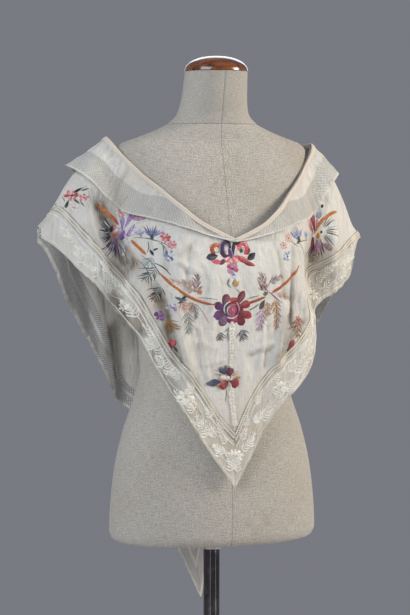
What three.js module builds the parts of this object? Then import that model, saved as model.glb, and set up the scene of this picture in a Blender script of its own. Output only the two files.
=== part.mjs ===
// A canezou: a sheer white cotton shoulder cape of the nineteenth century, with a turned-down
// collar, bordered front ending in a point, cap wings over the shoulders and a long pointed back.
// It rests on a linen-covered dress form with a turned wooden neck cap, a pole and a round foot.
// Millimetres, +Z up. The front faces -Y. The origin is the centre of the foot's underside.

import * as THREE from "three";

// Cloth
const WALL = 1.2; // thickness of the cloth walls
const SEAM = 0.4; // between two pieces at a seam
const INSERTION_WIDTH = 9; // the narrow braided lace between panel and border
const INSERTION_CROWN = 1; // how far the lace stands up along its middle
const HEM_WIDTH = 6; // the hem along the neck
const BRAID = { top: 1128, foot: 966, narrow: 6, wide: 13, scallop: 13, wave: 1.4, shift: -8 };
const WING_END = { left: 270, right: 258 }; // how far each wing reaches from the centre
const SIDE_TILT = 4; // the cape hangs this much higher on the left of the view than on the right
const TAIL_LEAN = { from: 800, to: 645, by: 20, ease: 1.3 }; // the tail's point hangs to one side
const PANEL_END = 1.5; // height left at the end of a piece that runs out at the shoulder seam
const LACE_STRETCH = 2.2; // the most that a steep seam widens the lace's height
const TRIM = { lift: 0.4, crown: 0.6 }; // how far hem and braid lie off the cloth, the braid's rise

// Cells along and across each piece
const GRID = { stationStep: 9, backStep: 12, panelRows: 12, backRows: 14, backEase: 1.35, borderRows: 4 };
const COLLAR_GRID = { along: 30, across: 5 };
const BRAID_CELLS = 30;

// Dress form, cap, pole and foot
const NECK_TOP = 1514;
const CAP = { radius: 49.5, y: -25.5, height: 24, steps: 8, flatness: 0.9 };
const POLE_RADIUS = 13;
const SOCKET = { radius: 16, height: 20 };
const FORM_BOTTOM = 774;
const FOOT = { radius: 190, height: 12, round: 3, flare: 34, hubRadius: 26, hubTop: 24, hubHeight: 30 };
const FIT = 0.3; // between hard pieces that touch
const SIDES = { form: 36, ringStep: 30, cap: 40, pole: 32, foot: 48, round: 4 };

// The shoulder line, from the middle of the neck out to the end of each wing. roll is how far
// below the line the cloth has turned to hang down.
const RIDGE = [
  { x: 0, y: 2, left: 1446, right: 1446, roll: 30 },
  { x: 150, y: 8, left: 1413, right: 1408, roll: 30 },
  { x: 169, y: 11, left: 1405, right: 1397, roll: 30 },
  { x: 190, y: 18, left: 1384, right: 1376, roll: 28 },
  { x: 210, y: 26, left: 1362, right: 1346, roll: 25 },
  { x: 228, y: 36, left: 1336, right: 1312, roll: 20 },
  { x: 243, y: 44, left: 1308, right: 1278, roll: 15 },
  { x: 256, y: 50, left: 1287, right: 1262, roll: 11 },
  { x: 270, y: 56, left: 1270, right: 1250, roll: 8 },
];

// How far forward or back the cloth hangs, row by row down the body. The columns are places
// across it, whose distances from the centre stand in the two lists of stations.
const FRONT_STATIONS = {
  mid: 0, bust: 72, side: 106, fold: 128, hollow: 156, wing: 192, outer: 230, tip: 270,
};
const FRONT_DEPTH = [
  { z: 1410, mid: -62, bust: -58, side: -42, fold: -30, hollow: -12, wing: 2, outer: 20, tip: 46 },
  { z: 1350, mid: -84, bust: -78, side: -62, fold: -48, hollow: -24, wing: -10, outer: 12, tip: 46 },
  { z: 1300, mid: -106, bust: -100, side: -80, fold: -62, hollow: -30, wing: -24, outer: 4, tip: 40 },
  { z: 1250, mid: -124, bust: -118, side: -97, fold: -76, hollow: -34, wing: -38, outer: -4, tip: 26 },
  { z: 1185, mid: -136, bust: -132, side: -114, fold: -92, hollow: -42, wing: -50, outer: -18, tip: 16 },
  { z: 1110, mid: -134, bust: -130, side: -118, fold: -104, hollow: -72, wing: -60, outer: -34, tip: 6 },
  { z: 1035, mid: -128, bust: -126, side: -118, fold: -111, hollow: -102, wing: -90, outer: -60, tip: -20 },
  { z: 950, mid: -125, bust: -122, side: -117, fold: -113, hollow: -106, wing: -98, outer: -80, tip: -50 },
  { z: 860, mid: -127, bust: -122, side: -117, fold: -113, hollow: -106, wing: -98, outer: -80, tip: -50 },
];
const BACK_STATIONS = { mid: 0, blade: 75, side: 130, arm: 160, wing: 200, outer: 240, tip: 270 };
const BACK_DEPTH = [
  { z: 1410, mid: 72, blade: 68, side: 50, arm: 34, wing: 36, outer: 46, tip: 58 },
  { z: 1350, mid: 96, blade: 92, side: 74, arm: 58, wing: 50, outer: 52, tip: 60 },
  { z: 1300, mid: 104, blade: 102, side: 88, arm: 74, wing: 60, outer: 56, tip: 62 },
  { z: 1185, mid: 106, blade: 105, side: 97, arm: 86, wing: 68, outer: 54, tip: 54 },
  { z: 1110, mid: 104, blade: 104, side: 98, arm: 88, wing: 74, outer: 60, tip: 54 },
  { z: 1035, mid: 104, blade: 104, side: 99, arm: 88, wing: 76, outer: 64, tip: 56 },
  { z: 950, mid: 110, blade: 109, side: 102, arm: 92, wing: 80, outer: 68, tip: 60 },
  { z: 860, mid: 119, blade: 117, side: 108, arm: 96, wing: 84, outer: 72, tip: 64 },
  { z: 760, mid: 122, blade: 119, side: 110, arm: 100, wing: 88, outer: 76, tip: 68 },
  { z: 660, mid: 126, blade: 122, side: 112, arm: 102, wing: 90, outer: 78, tip: 70 },
];

// Heights of the seams and edges at distances from the centre, on each side of the view
const INNER_SEAM = [
  { x: 0, left: 955, right: 955 },
  { x: 25, left: 984, right: 1010 },
  { x: 50, left: 1022, right: 1046 },
  { x: 75, left: 1056, right: 1070 },
  { x: 100, left: 1088, right: 1092 },
  { x: 125, left: 1137, right: 1124 },
  { x: 140, left: 1172, right: 1172 },
  { x: 155, left: 1195, right: 1204 },
  { x: 175, left: 1216, right: 1214 },
  { x: 200, left: 1249, right: 1229 },
  { x: 225, left: 1284, right: 1245 },
  { x: 240, left: 1301, right: 1254 },
  { x: 256, left: 1310, right: 1261 },
  { x: 270, left: 1318, right: 1262 },
];
const OUTER_EDGE = [
  { x: 0, left: 869, right: 869 },
  { x: 25, left: 903, right: 913 },
  { x: 50, left: 939, right: 960 },
  { x: 75, left: 979, right: 994 },
  { x: 100, left: 1018, right: 1018 },
  { x: 125, left: 1062, right: 1045 },
  { x: 140, left: 1098, right: 1078 },
  { x: 155, left: 1122, right: 1136 },
  { x: 175, left: 1146, right: 1152 },
  { x: 200, left: 1181, right: 1164 },
  { x: 225, left: 1209, right: 1181 },
  { x: 234, left: 1221, right: 1193 },
  { x: 243, left: 1231, right: 1234 },
  { x: 258, left: 1245, right: 1249 },
  { x: 270, left: 1253, right: 1249 },
];
const BACK_EDGE = [
  { x: 0, left: 645, right: 645 },
  { x: 28, left: 733, right: 733 },
  { x: 50, left: 810, right: 810 },
  { x: 75, left: 890, right: 890 },
  { x: 95, left: 946, right: 944 },
  { x: 110, left: 972, right: 964 },
  { x: 132, left: 990, right: 976 },
  { x: 161, left: 1048, right: 1030 },
  { x: 200, left: 1116, right: 1096 },
  { x: 225, left: 1157, right: 1152 },
  { x: 245, left: 1205, right: 1205 },
  { x: 258, left: 1232, right: 1245 },
  { x: 270, left: 1246, right: 1245 },
];

// The collar, from its point at the front, over the shoulder, to the middle of the back: where its
// neck edge and its outer edge lie, and how far the outer edge stands off the cape.
const COLLAR_FRONT = [
  { along: 0, neckX: 0, neckZ: 1254, edgeX: 0, edgeZ: 1248, rightIn: 0, stand: 0.8 },
  { along: 0.08, neckX: 30, neckZ: 1268, edgeX: 38, edgeZ: 1256, rightIn: 0, stand: 1.5 },
  { along: 0.16, neckX: 50, neckZ: 1279, edgeX: 66, edgeZ: 1264, rightIn: 0, stand: 2 },
  { along: 0.24, neckX: 74, neckZ: 1299, edgeX: 94, edgeZ: 1273, rightIn: 0, stand: 3 },
  { along: 0.32, neckX: 98, neckZ: 1323, edgeX: 122, edgeZ: 1281, rightIn: 0, stand: 4 },
  { along: 0.4, neckX: 122, neckZ: 1346, edgeX: 150, edgeZ: 1291, rightIn: 2, stand: 6 },
  { along: 0.48, neckX: 145, neckZ: 1374, edgeX: 178, edgeZ: 1311, rightIn: 6, stand: 8 },
  { along: 0.54, neckX: 159, neckZ: 1391, edgeX: 199, edgeZ: 1338, rightIn: 9, stand: 11 },
  { along: 0.6, neckX: 167, neckZ: 1404, edgeX: 216, edgeZ: 1353, rightIn: 11, stand: 14 },
];
const COLLAR_BACK = [
  { along: 0.6, neckX: 167, neckZ: 1404, edgeX: 216, edgeZ: 1353, rightIn: 11, stand: 14 },
  { along: 0.7, neckX: 152, neckZ: 1391, edgeX: 192, edgeZ: 1329, rightIn: 6, stand: 8 },
  { along: 0.8, neckX: 110, neckZ: 1381, edgeX: 136, edgeZ: 1309, rightIn: 2, stand: 5 },
  { along: 0.9, neckX: 55, neckZ: 1374, edgeX: 68, edgeZ: 1301, rightIn: 0, stand: 3 },
  { along: 1, neckX: 0, neckZ: 1371, edgeX: 0, edgeZ: 1299, rightIn: 0, stand: 3 },
];

// The collar's clearance at its neck edge, what its stand adds there, and how the rise sets in
const SEAT = { least: 0.5, share: 0.12, ease: 1.5 };

// Folds: soft ridges (out above zero) and troughs along a line between two places.
const FRONT_FOLDS = [
  { name: "left pleat", x0: -104, z0: 1190, x1: -72, z1: 1050, width: 9, out: 5 },
  { name: "left pleat bed", x0: -120, z0: 1185, x1: -88, z1: 1062, width: 9, out: -5 },
  { name: "right pleat", x0: 80, z0: 1150, x1: 66, z1: 1060, width: 9, out: 5 },
  { name: "right pleat bed", x0: 95, z0: 1150, x1: 82, z1: 1072, width: 9, out: -4 },
  { name: "left gather one", x0: -112, z0: 1250, x1: -116, z1: 1190, width: 8, out: 4 },
  { name: "left gather two", x0: -90, z0: 1240, x1: -92, z1: 1160, width: 8, out: 3.5 },
  { name: "right gather one", x0: 112, z0: 1262, x1: 118, z1: 1150, width: 9, out: 5 },
  { name: "right gather two", x0: 92, z0: 1240, x1: 98, z1: 1170, width: 8, out: 4 },
  { name: "left of centre", x0: -34, z0: 1215, x1: -44, z1: 1075, width: 12, out: 3 },
  { name: "right of centre", x0: 28, z0: 1210, x1: 34, z1: 1090, width: 12, out: 3 },
  { name: "right side fold", x0: 118, z0: 1235, x1: 120, z1: 1130, width: 12, out: 8 },
  { name: "right side fold bed", x0: 138, z0: 1225, x1: 138, z1: 1150, width: 12, out: -10 },
  { name: "right wing falls back", x0: 165, z0: 1190, x1: 225, z1: 1150, width: 42, out: -22 },
  { name: "left border roll", x0: -198, z0: 1232, x1: -142, z1: 1168, width: 15, out: 6 },
  { name: "left border trough", x0: -168, z0: 1160, x1: -140, z1: 1118, width: 13, out: -6 },
  { name: "left wing pleat", x0: -238, z0: 1262, x1: -205, z1: 1205, width: 10, out: 5 },
  { name: "right wing pleat", x0: 240, z0: 1240, x1: 206, z1: 1190, width: 10, out: 6 },
  { name: "left hem wave", x0: -120, z0: 1080, x1: -96, z1: 1020, width: 10, out: -4 },
  { name: "right hem wave", x0: 118, z0: 1085, x1: 98, z1: 1020, width: 10, out: 4 },
];
const BACK_FOLDS = [
  { name: "left corner fold", x0: -128, z0: 1100, x1: -116, z1: 985, width: 11, out: 9 },
  { name: "left corner trough", x0: -150, z0: 1100, x1: -134, z1: 1005, width: 10, out: -8 },
  { name: "right corner fold", x0: 130, z0: 1105, x1: 118, z1: 975, width: 11, out: 8 },
  { name: "right corner trough", x0: 152, z0: 1110, x1: 138, z1: 1010, width: 10, out: -8 },
  { name: "left blade gather", x0: -88, z0: 1290, x1: -70, z1: 1130, width: 13, out: 5 },
  { name: "right blade gather", x0: 92, z0: 1295, x1: 72, z1: 1120, width: 13, out: 6 },
  { name: "middle gather", x0: 6, z0: 1280, x1: 0, z1: 1090, width: 15, out: 4 },
  { name: "tail fold left", x0: -34, z0: 960, x1: -8, z1: 760, width: 11, out: 6 },
  { name: "tail fold right", x0: 40, z0: 940, x1: 12, z1: 770, width: 11, out: 5 },
  { name: "left side drape", x0: -205, z0: 1215, x1: -176, z1: 1110, width: 13, out: 7 },
  { name: "right side drape", x0: 210, z0: 1205, x1: 182, z1: 1100, width: 13, out: 7 },
];

// The dress form's body, from its lower edge up to the neck: half its width, the line through its
// middle, how far it reaches forward and back, and how square each section is (2 is an ellipse).
const FORM = [
  { z: 774, half: 158, middle: -4, front: -104, back: 90, power: 2.1 },
  { z: 778, half: 164, middle: -4, front: -109, back: 96, power: 2.1 },
  { z: 790, half: 168, middle: -4, front: -113, back: 99, power: 2.1 },
  { z: 830, half: 166, middle: -4, front: -115, back: 101, power: 2.1 },
  { z: 890, half: 159, middle: -4, front: -112, back: 97, power: 2.1 },
  { z: 950, half: 145, middle: -4, front: -104, back: 85, power: 2.1 },
  { z: 1000, half: 128, middle: -4, front: -95, back: 72, power: 2.1 },
  { z: 1045, half: 118, middle: -4, front: -90, back: 64, power: 2.1 },
  { z: 1085, half: 119, middle: -3, front: -94, back: 66, power: 2.1 },
  { z: 1130, half: 130, middle: -1, front: -106, back: 75, power: 2.2 },
  { z: 1185, half: 141, middle: 0, front: -117, back: 88, power: 2.3 },
  { z: 1240, half: 145, middle: 1, front: -110, back: 99, power: 2.3 },
  { z: 1290, half: 147, middle: 3, front: -92, back: 102, power: 2.4 },
  { z: 1340, half: 149.5, middle: 4, front: -76, back: 97.6, power: 2.4 },
  { z: 1372, half: 155.2, middle: 4, front: -66, back: 84, power: 2.3 },
  { z: 1391, half: 155.8, middle: 3, front: -59, back: 71, power: 2.2 },
  { z: 1402, half: 146, middle: 2, front: -55, back: 62, power: 2.1 },
  { z: 1410, half: 124, middle: 0, front: -54, back: 57, power: 2.1 },
  { z: 1419, half: 100, middle: -1, front: -54, back: 53, power: 2.1 },
  { z: 1431, half: 75, middle: -3, front: -54, back: 50, power: 2 },
  { z: 1447, half: 58, middle: -6, front: -57, back: 45, power: 2 },
  { z: 1465, half: 53, middle: -12, front: -63, back: 38, power: 2 },
  { z: NECK_TOP, half: 49, middle: -25.5, front: -75, back: 24, power: 2 },
];
const BUST = { x: 68, z: 1180, wide: 42, high: 55, out: 11, ease: 0.5 };

// A smooth curve through points, without overshoot. level makes it start flat.
function curveThrough(xs, ys, level = false) {
  const rise = (i) => (ys[i + 1] - ys[i]) / (xs[i + 1] - xs[i]);
  const last = xs.length - 1;
  const slopes = xs.map((_, i) => {
    if (i === 0) return level ? 0 : rise(0);
    if (i === last) return rise(last - 1);
    const before = rise(i - 1);
    const after = rise(i);
    return before * after <= 0 ? 0 : (2 * before * after) / (before + after);
  });
  return (x) => {
    if (x <= xs[0]) return ys[0] + slopes[0] * (x - xs[0]);
    if (x >= xs[last]) return ys[last] + slopes[last] * (x - xs[last]);
    let i = 0;
    while (x > xs[i + 1]) i += 1;
    const span = xs[i + 1] - xs[i];
    const t = (x - xs[i]) / span;
    const u = 1 - t;
    const start = (1 + 2 * t) * u * u * ys[i] + t * u * u * span * slopes[i];
    const end = t * t * (3 - 2 * t) * ys[i + 1] - t * t * u * span * slopes[i + 1];
    return start + end;
  };
}

const columnCurve = (table, key, column, level) =>
  curveThrough(table.map((row) => row[key]), table.map((row) => row[column]), level);

// A line given on both sides of the centre: its value at any x.
function sidedLine(table) {
  const left = columnCurve(table, "x", "left");
  const right = columnCurve(table, "x", "right");
  return (x) => (x < 0 ? left(-x) : right(x));
}

const innerSeam = sidedLine(INNER_SEAM);
const outerEdge = sidedLine(OUTER_EDGE);
const backEdge = sidedLine(BACK_EDGE);
const ridgeZ = sidedLine(RIDGE);
const ridgeY = columnCurve(RIDGE, "x", "y");
const rollDepth = columnCurve(RIDGE, "x", "roll");
const tiltAt = (x) => -SIDE_TILT * Math.max(-1, Math.min(1, x / 100));

// A sheet's depth at a place, from its table of sections.
function sheetDepth(table, stations) {
  const rows = [...table].sort((a, b) => a.z - b.z);
  const names = Object.keys(stations);
  const places = names.map((name) => stations[name]);
  const columns = names.map((name) => columnCurve(rows, "z", name));
  return (x, z) => curveThrough(places, columns.map((column) => column(z)), true)(Math.abs(x));
}

function foldAt(folds, x, z) {
  return folds.reduce((sum, fold) => {
    const dx = fold.x1 - fold.x0;
    const dz = fold.z1 - fold.z0;
    const t = ((x - fold.x0) * dx + (z - fold.z0) * dz) / (dx * dx + dz * dz);
    const near = Math.max(0, Math.min(1, t));
    const away = Math.hypot(x - fold.x0 - near * dx, z - fold.z0 - near * dz);
    return sum + fold.out * Math.exp(-((away / fold.width) ** 2));
  }, 0);
}

const frontDepth = sheetDepth(FRONT_DEPTH, FRONT_STATIONS);
const backDepth = sheetDepth(BACK_DEPTH, BACK_STATIONS);

// The cape's surface. x is the distance from the centre, and run is how far the cloth has come
// down from the shoulder line: above zero in front, below zero behind.
function capePoint(x, run) {
  const roll = rollDepth(Math.abs(x));
  const turned = Math.min(Math.PI / 2, Math.abs(run) / roll);
  const drop = roll * (1 - Math.cos(turned)) + Math.max(0, Math.abs(run) - (roll * Math.PI) / 2);
  const z = ridgeZ(x) - drop;
  const top = ridgeY(Math.abs(x));
  const lean = Math.max(0, (TAIL_LEAN.from - z) / (TAIL_LEAN.from - TAIL_LEAN.to));
  const hang = run > 0
    ? frontDepth(x, z) - foldAt(FRONT_FOLDS, x, z)
    : backDepth(x, z) + foldAt(BACK_FOLDS, x, z);
  const aside = TAIL_LEAN.by * lean ** TAIL_LEAN.ease;
  return new THREE.Vector3(x + aside, top + (hang - top) * Math.sin(turned), z);
}

// The run down from the shoulder line to a height.
function runTo(x, z) {
  const roll = rollDepth(Math.abs(x));
  const drop = Math.max(0, ridgeZ(x) - z);
  if (drop > roll) return drop - roll + (roll * Math.PI) / 2;
  return roll * Math.acos(1 - drop / roll);
}

function capeNormal(x, run) {
  const step = 0.5;
  const low = run >= 0 ? Math.max(run - step, 0.01) : run - step;
  const high = run >= 0 ? run + step : Math.min(run + step, -0.01);
  const across = capePoint(x + step, run).sub(capePoint(x - step, run));
  const down = capePoint(x, high).sub(capePoint(x, low));
  return down.cross(across).normalize();
}

// A wall between two grids of points, closed along its four edges.
function wall(columns, rows, inside, outside) {
  const positions = [];
  const index = [];
  [inside, outside].forEach((at) => {
    for (let i = 0; i <= columns; i += 1) {
      for (let j = 0; j <= rows; j += 1) positions.push(...at(i / columns, j / rows).toArray());
    }
  });
  const count = (columns + 1) * (rows + 1);
  const id = (side, i, j) => side * count + i * (rows + 1) + j;
  const quad = (a, b, c, d) => index.push(a, b, c, a, c, d);
  for (let i = 0; i < columns; i += 1) {
    for (let j = 0; j < rows; j += 1) {
      quad(id(0, i, j), id(0, i + 1, j), id(0, i + 1, j + 1), id(0, i, j + 1));
      quad(id(1, i, j), id(1, i, j + 1), id(1, i + 1, j + 1), id(1, i + 1, j));
    }
    quad(id(0, i, 0), id(1, i, 0), id(1, i + 1, 0), id(0, i + 1, 0));
    quad(id(0, i + 1, rows), id(1, i + 1, rows), id(1, i, rows), id(0, i, rows));
  }
  for (let j = 0; j < rows; j += 1) {
    quad(id(0, 0, j + 1), id(1, 0, j + 1), id(1, 0, j), id(0, 0, j));
    quad(id(0, columns, j), id(1, columns, j), id(1, columns, j + 1), id(0, columns, j + 1));
  }
  return facingOut(positions, index);
}

// A closed mesh, its faces turned outwards whatever order its points came in.
function facingOut(positions, index) {
  const corner = (k) => new THREE.Vector3().fromArray(positions, 3 * k);
  let volume = 0;
  for (let i = 0; i < index.length; i += 3) {
    volume += corner(index[i]).dot(corner(index[i + 1]).cross(corner(index[i + 2])));
  }
  const order = volume < 0 ? [...index].reverse() : index;
  const geometry = new THREE.BufferGeometry();
  geometry.setAttribute("position", new THREE.Float32BufferAttribute(positions, 3));
  geometry.setIndex(order);
  geometry.computeVertexNormals();
  return geometry;
}

// A piece of cloth on the cape. place gives x and run for each corner of its grid, lift the
// distance of its inner face from the cape's surface, and crown what its outer face adds.
function clothPiece(columns, rows, place, lift = () => 0, crown = () => 0) {
  const at = (depth) => (u, v) => {
    const [x, run] = place(u, v);
    return capePoint(x, run).addScaledVector(capeNormal(x, run), depth(u, v));
  };
  return wall(columns, rows, at(lift), at((u, v) => lift(u, v) + WALL + crown(u, v)));
}

const mix = (a, b, t) => a + (b - a) * t;

// Half of the neck line in front and behind, as heights at distances from the centre.
const neckFront = columnCurve(COLLAR_FRONT, "neckX", "neckZ");
const neckBack = columnCurve([...COLLAR_BACK].reverse(), "neckX", "neckZ", true);
const NECK_REACH = COLLAR_FRONT.at(-1).neckX;

function runAtNeck(x, neckLine) {
  const height = neckLine(Math.abs(x)) + tiltAt(x);
  return Math.abs(x) < NECK_REACH ? Math.max(SEAM / 2, runTo(x, height)) : SEAM / 2;
}

// How far a seam's slope stretches a width that is measured straight across it.
function slant(line, x) {
  const step = 2;
  return Math.hypot(1, (line(x + step) - line(x - step)) / (2 * step));
}

// Where a line comes up to the shoulder seam on one side.
function reachOf(line, side) {
  const limit = side < 0 ? WING_END.left : WING_END.right;
  let x = 160;
  while (x < limit && ridgeZ(side * x) - line(side * x) > PANEL_END) x += 0.5;
  return x;
}

// The places across the cape where pieces have their points, the same for all of them so that
// their seams run side by side. A piece ends at its own reach.
function stations(side, reach, step = GRID.stationStep) {
  const limit = side < 0 ? WING_END.left : WING_END.right;
  const ends = [NECK_REACH, reachOf(innerSeam, side), reachOf(insertionFoot, side), limit];
  const regular = Array.from({ length: Math.floor(limit / step) }, (_, i) => (i + 1) * step);
  const kept = regular.filter((x) => ends.every((end) => Math.abs(x - end) > step / 3));
  return [...kept, ...ends].filter((x) => x <= reach + 0.01).sort((a, b) => a - b);
}

// Stations all the way across, from one side's reach to the other's
function stationsAcross(leftReach, rightReach, step) {
  const left = stations(-1, leftReach, step).map((x) => -x).reverse();
  return [...left, 0, ...stations(1, rightReach, step)];
}

const insertionFoot = (x) =>
  innerSeam(x) - INSERTION_WIDTH * Math.min(LACE_STRETCH, slant(innerSeam, x));

// The run down to a seam, stopping short of it or starting past it by half the seam's gap.
const runBeside = (line, x, way) =>
  Math.max(SEAM / 2, runTo(x, line(x)) + (way * SEAM * slant(line, x)) / 2);

// Front panel, from the neck and the shoulder seams down to the lace
function frontPanel() {
  const places = stationsAcross(reachOf(innerSeam, -1), reachOf(innerSeam, 1));
  const columns = places.length - 1;
  const place = (u, v) => {
    const x = places[Math.round(u * columns)];
    const top = runAtNeck(x, neckFront);
    return [x, mix(top, Math.max(top + PANEL_END, runBeside(innerSeam, x, -1)), v)];
  };
  return clothPiece(columns, GRID.panelRows, place);
}

// Back panel, from the neck and the shoulder seams down to the side edges and the tail's point
function backPanel() {
  const places = stationsAcross(WING_END.left, WING_END.right, GRID.backStep);
  const columns = places.length - 1;
  const place = (u, v) => {
    const x = places[Math.round(u * columns)];
    return [x, -mix(runAtNeck(x, neckBack), runTo(x, backEdge(x)), v ** GRID.backEase)];
  };
  return clothPiece(columns, GRID.backRows, place);
}

// A strip between two lines, from the mitre at the front to the shoulder seam on one side
function strip(side, upper, lower, rows, crown) {
  const places = [SEAM / 2, ...stations(side, reachOf(lower, side))];
  const columns = places.length - 1;
  const place = (u, v) => {
    const x = side * places[Math.round(u * columns)];
    const top = runBeside(upper, x, 1);
    const foot = Math.max(top + PANEL_END, runBeside(lower, x, -1));
    return [x, mix(top, foot, v)];
  };
  return clothPiece(columns, rows, place, () => 0, crown);
}

const insertion = (side) =>
  strip(side, innerSeam, insertionFoot, 2, (u, v) => INSERTION_CROWN * Math.sin(Math.PI * v));
const border = (side) => strip(side, insertionFoot, outerEdge, GRID.borderRows);

// The collar's neck edge and outer edge at a place along it, as x and run
const curvesOf = (table, key) => Object.fromEntries(
  Object.keys(table[0]).map((column) => [column, columnCurve(table, key, column)]),
);
const collarFront = curvesOf(COLLAR_FRONT, "along");
const collarBack = curvesOf(COLLAR_BACK, "along");
const OVER_SHOULDER = COLLAR_BACK[0].along;

function collarEdges(side, along) {
  const front = along < OVER_SHOULDER;
  const rows = front ? collarFront : collarBack;
  const way = front ? 1 : -1;
  const inward = side > 0 ? rows.rightIn(along) : 0;
  const place = (across, height) => {
    const atShoulder = Math.abs(along - OVER_SHOULDER) < 1e-6;
    return [side * across, atShoulder ? 0 : way * runTo(side * across, height + tiltAt(side * across))];
  };
  return {
    neck: place(rows.neckX(along), rows.neckZ(along)),
    edge: place(rows.edgeX(along) - inward, rows.edgeZ(along)),
    stand: rows.stand(along) - inward / 2,
  };
}

function collarPlace(side, u, v) {
  const { neck, edge } = collarEdges(side, u);
  const x = mix(neck[0], edge[0], v);
  const centred = side * Math.max(SEAM / 2, side * x);
  return [centred, mix(neck[1], edge[1], v)];
}

const collarLift = (side) => (u, v) => {
  const { stand } = collarEdges(side, u);
  return WALL + SEAM + SEAT.least + stand * (SEAT.share + v ** SEAT.ease);
};

const collar = (side) =>
  clothPiece(COLLAR_GRID.along, COLLAR_GRID.across,
    (u, v) => collarPlace(side, u, v), collarLift(side));

// The hem that binds the neck, on the collar
function neckHem(side) {
  const share = (u) => {
    const { neck, edge } = collarEdges(side, u);
    const wide = Math.hypot(edge[0] - neck[0], edge[1] - neck[1]);
    return Math.min(0.8, HEM_WIDTH / wide);
  };
  const lift = collarLift(side);
  return clothPiece(COLLAR_GRID.along, 1,
    (u, v) => collarPlace(side, u, v * share(u)),
    (u, v) => lift(u, v * share(u)) + WALL + SEAM + TRIM.lift);
}

// The scalloped braid down the middle of the front panel
function centreBraid() {
  const place = (u, v) => {
    const z = mix(BRAID.top, BRAID.foot, u);
    const wave = BRAID.wave * Math.abs(Math.sin((Math.PI * z) / BRAID.scallop));
    const half = mix(BRAID.narrow, BRAID.wide, u ** 3) / 2 + wave - BRAID.wave;
    const x = mix(BRAID.shift, 0, u ** 4) + half * (2 * v - 1);
    return [x, runTo(x, z)];
  };
  return clothPiece(BRAID_CELLS, 2, place, () => WALL + SEAM + TRIM.lift,
    (u, v) => TRIM.crown * Math.sin(Math.PI * v));
}

// The dress form's body, from rings of points
function formBody() {
  const section = Object.fromEntries(
    Object.keys(FORM[0]).map((key) => [key, columnCurve(FORM, "z", key)]),
  );
  const rings = FORM.flatMap((row, i) => {
    const next = FORM[i + 1];
    return next && next.z - row.z > SIDES.ringStep ? [row.z, (row.z + next.z) / 2] : [row.z];
  });
  const positions = [];
  const index = [];
  rings.forEach((z) => {
    const power = 2 / section.power(z);
    const middle = section.middle(z);
    for (let k = 0; k < SIDES.form; k += 1) {
      const turn = (2 * Math.PI * k) / SIDES.form;
      const c = Math.cos(turn);
      const s = Math.sin(turn);
      const reach = s < 0 ? middle - section.front(z) : section.back(z) - middle;
      const x = section.half(z) * Math.sign(c) * Math.abs(c) ** power;
      const y = middle + reach * Math.sign(s) * Math.abs(s) ** power;
      const dx = (Math.abs(x) - BUST.x) / BUST.wide;
      const dz = (z - BUST.z) / BUST.high;
      const bust = s < 0 ? BUST.out * Math.exp(-dx * dx - dz * dz) * Math.abs(s) ** BUST.ease : 0;
      positions.push(x, y - bust, z);
    }
  });
  const last = rings.length - 1;
  const id = (ring, k) => ring * SIDES.form + (k % SIDES.form);
  for (let k = 0; k < SIDES.form; k += 1) {
    for (let ring = 0; ring < last; ring += 1) {
      index.push(id(ring, k), id(ring, k + 1), id(ring + 1, k + 1));
      index.push(id(ring, k), id(ring + 1, k + 1), id(ring + 1, k));
    }
  }
  for (let k = 1; k < SIDES.form - 1; k += 1) {
    index.push(id(0, 0), id(0, k + 1), id(0, k));
    index.push(id(last, 0), id(last, k), id(last, k + 1));
  }
  return facingOut(positions, index);
}

// A turned piece: its outline as radius and height, from the axis round to the axis or closed
function turned(outline, sides) {
  const points = outline.map(([radius, height]) => new THREE.Vector2(radius, height));
  const geometry = new THREE.LatheGeometry(points, sides);
  geometry.rotateX(Math.PI / 2);
  return geometry;
}

function roundedEdge(radius, bottom, top, round) {
  const corner = Array.from({ length: SIDES.round + 1 }, (_, i) => {
    const turn = (Math.PI / 2) * (i / SIDES.round);
    return [radius - round + round * Math.cos(turn), top - round + round * Math.sin(turn)];
  });
  return [[0, bottom], [radius, bottom], ...corner];
}

function neckCap() {
  const bottom = NECK_TOP + FIT;
  const dome = Array.from({ length: CAP.steps + 1 }, (_, i) => {
    const turn = (Math.PI / 2) * (i / CAP.steps);
    return [CAP.radius * Math.cos(turn) ** CAP.flatness, bottom + CAP.height * Math.sin(turn)];
  });
  dome[CAP.steps][0] = 0;
  return turned([[0, bottom], ...dome], SIDES.cap).translate(0, CAP.y, 0);
}

function poleSocket() {
  const top = FORM_BOTTOM - FIT;
  const bore = POLE_RADIUS + FIT;
  const foot = top - SOCKET.height;
  return turned([[bore, foot], [SOCKET.radius, foot], [SOCKET.radius, top], [bore, top],
    [bore, foot]], SIDES.pole);
}

function pole() {
  const foot = FOOT.hubHeight + FIT;
  const top = FORM_BOTTOM - FIT;
  return turned([[0, foot], [POLE_RADIUS, foot], [POLE_RADIUS, top], [0, top]], SIDES.pole);
}

function foot() {
  const plate = roundedEdge(FOOT.radius, 0, FOOT.height, FOOT.round);
  const hub = [[FOOT.flare, FOOT.height], [FOOT.hubRadius, FOOT.height + FOOT.round * 2],
    [FOOT.hubTop, FOOT.hubHeight], [0, FOOT.hubHeight]];
  return turned([...plate, ...hub], SIDES.foot);
}

const COTTON = new THREE.MeshStandardMaterial({ color: 0xe6dfd0, roughness: 0.8 });
const LACE = new THREE.MeshStandardMaterial({ color: 0xe2d3b8, roughness: 0.75 });
const LINEN = new THREE.MeshStandardMaterial({ color: 0xbeb7ac, roughness: 0.9 });
const WOOD = new THREE.MeshStandardMaterial({ color: 0x8a4a22, roughness: 0.25 });
const STEEL = new THREE.MeshStandardMaterial({ color: 0x26242a, roughness: 0.25, metalness: 1 });

const canezou = new THREE.Group();

function add(name, geometry, material) {
  const mesh = new THREE.Mesh(geometry, material);
  mesh.name = name;
  canezou.add(mesh);
}

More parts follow.
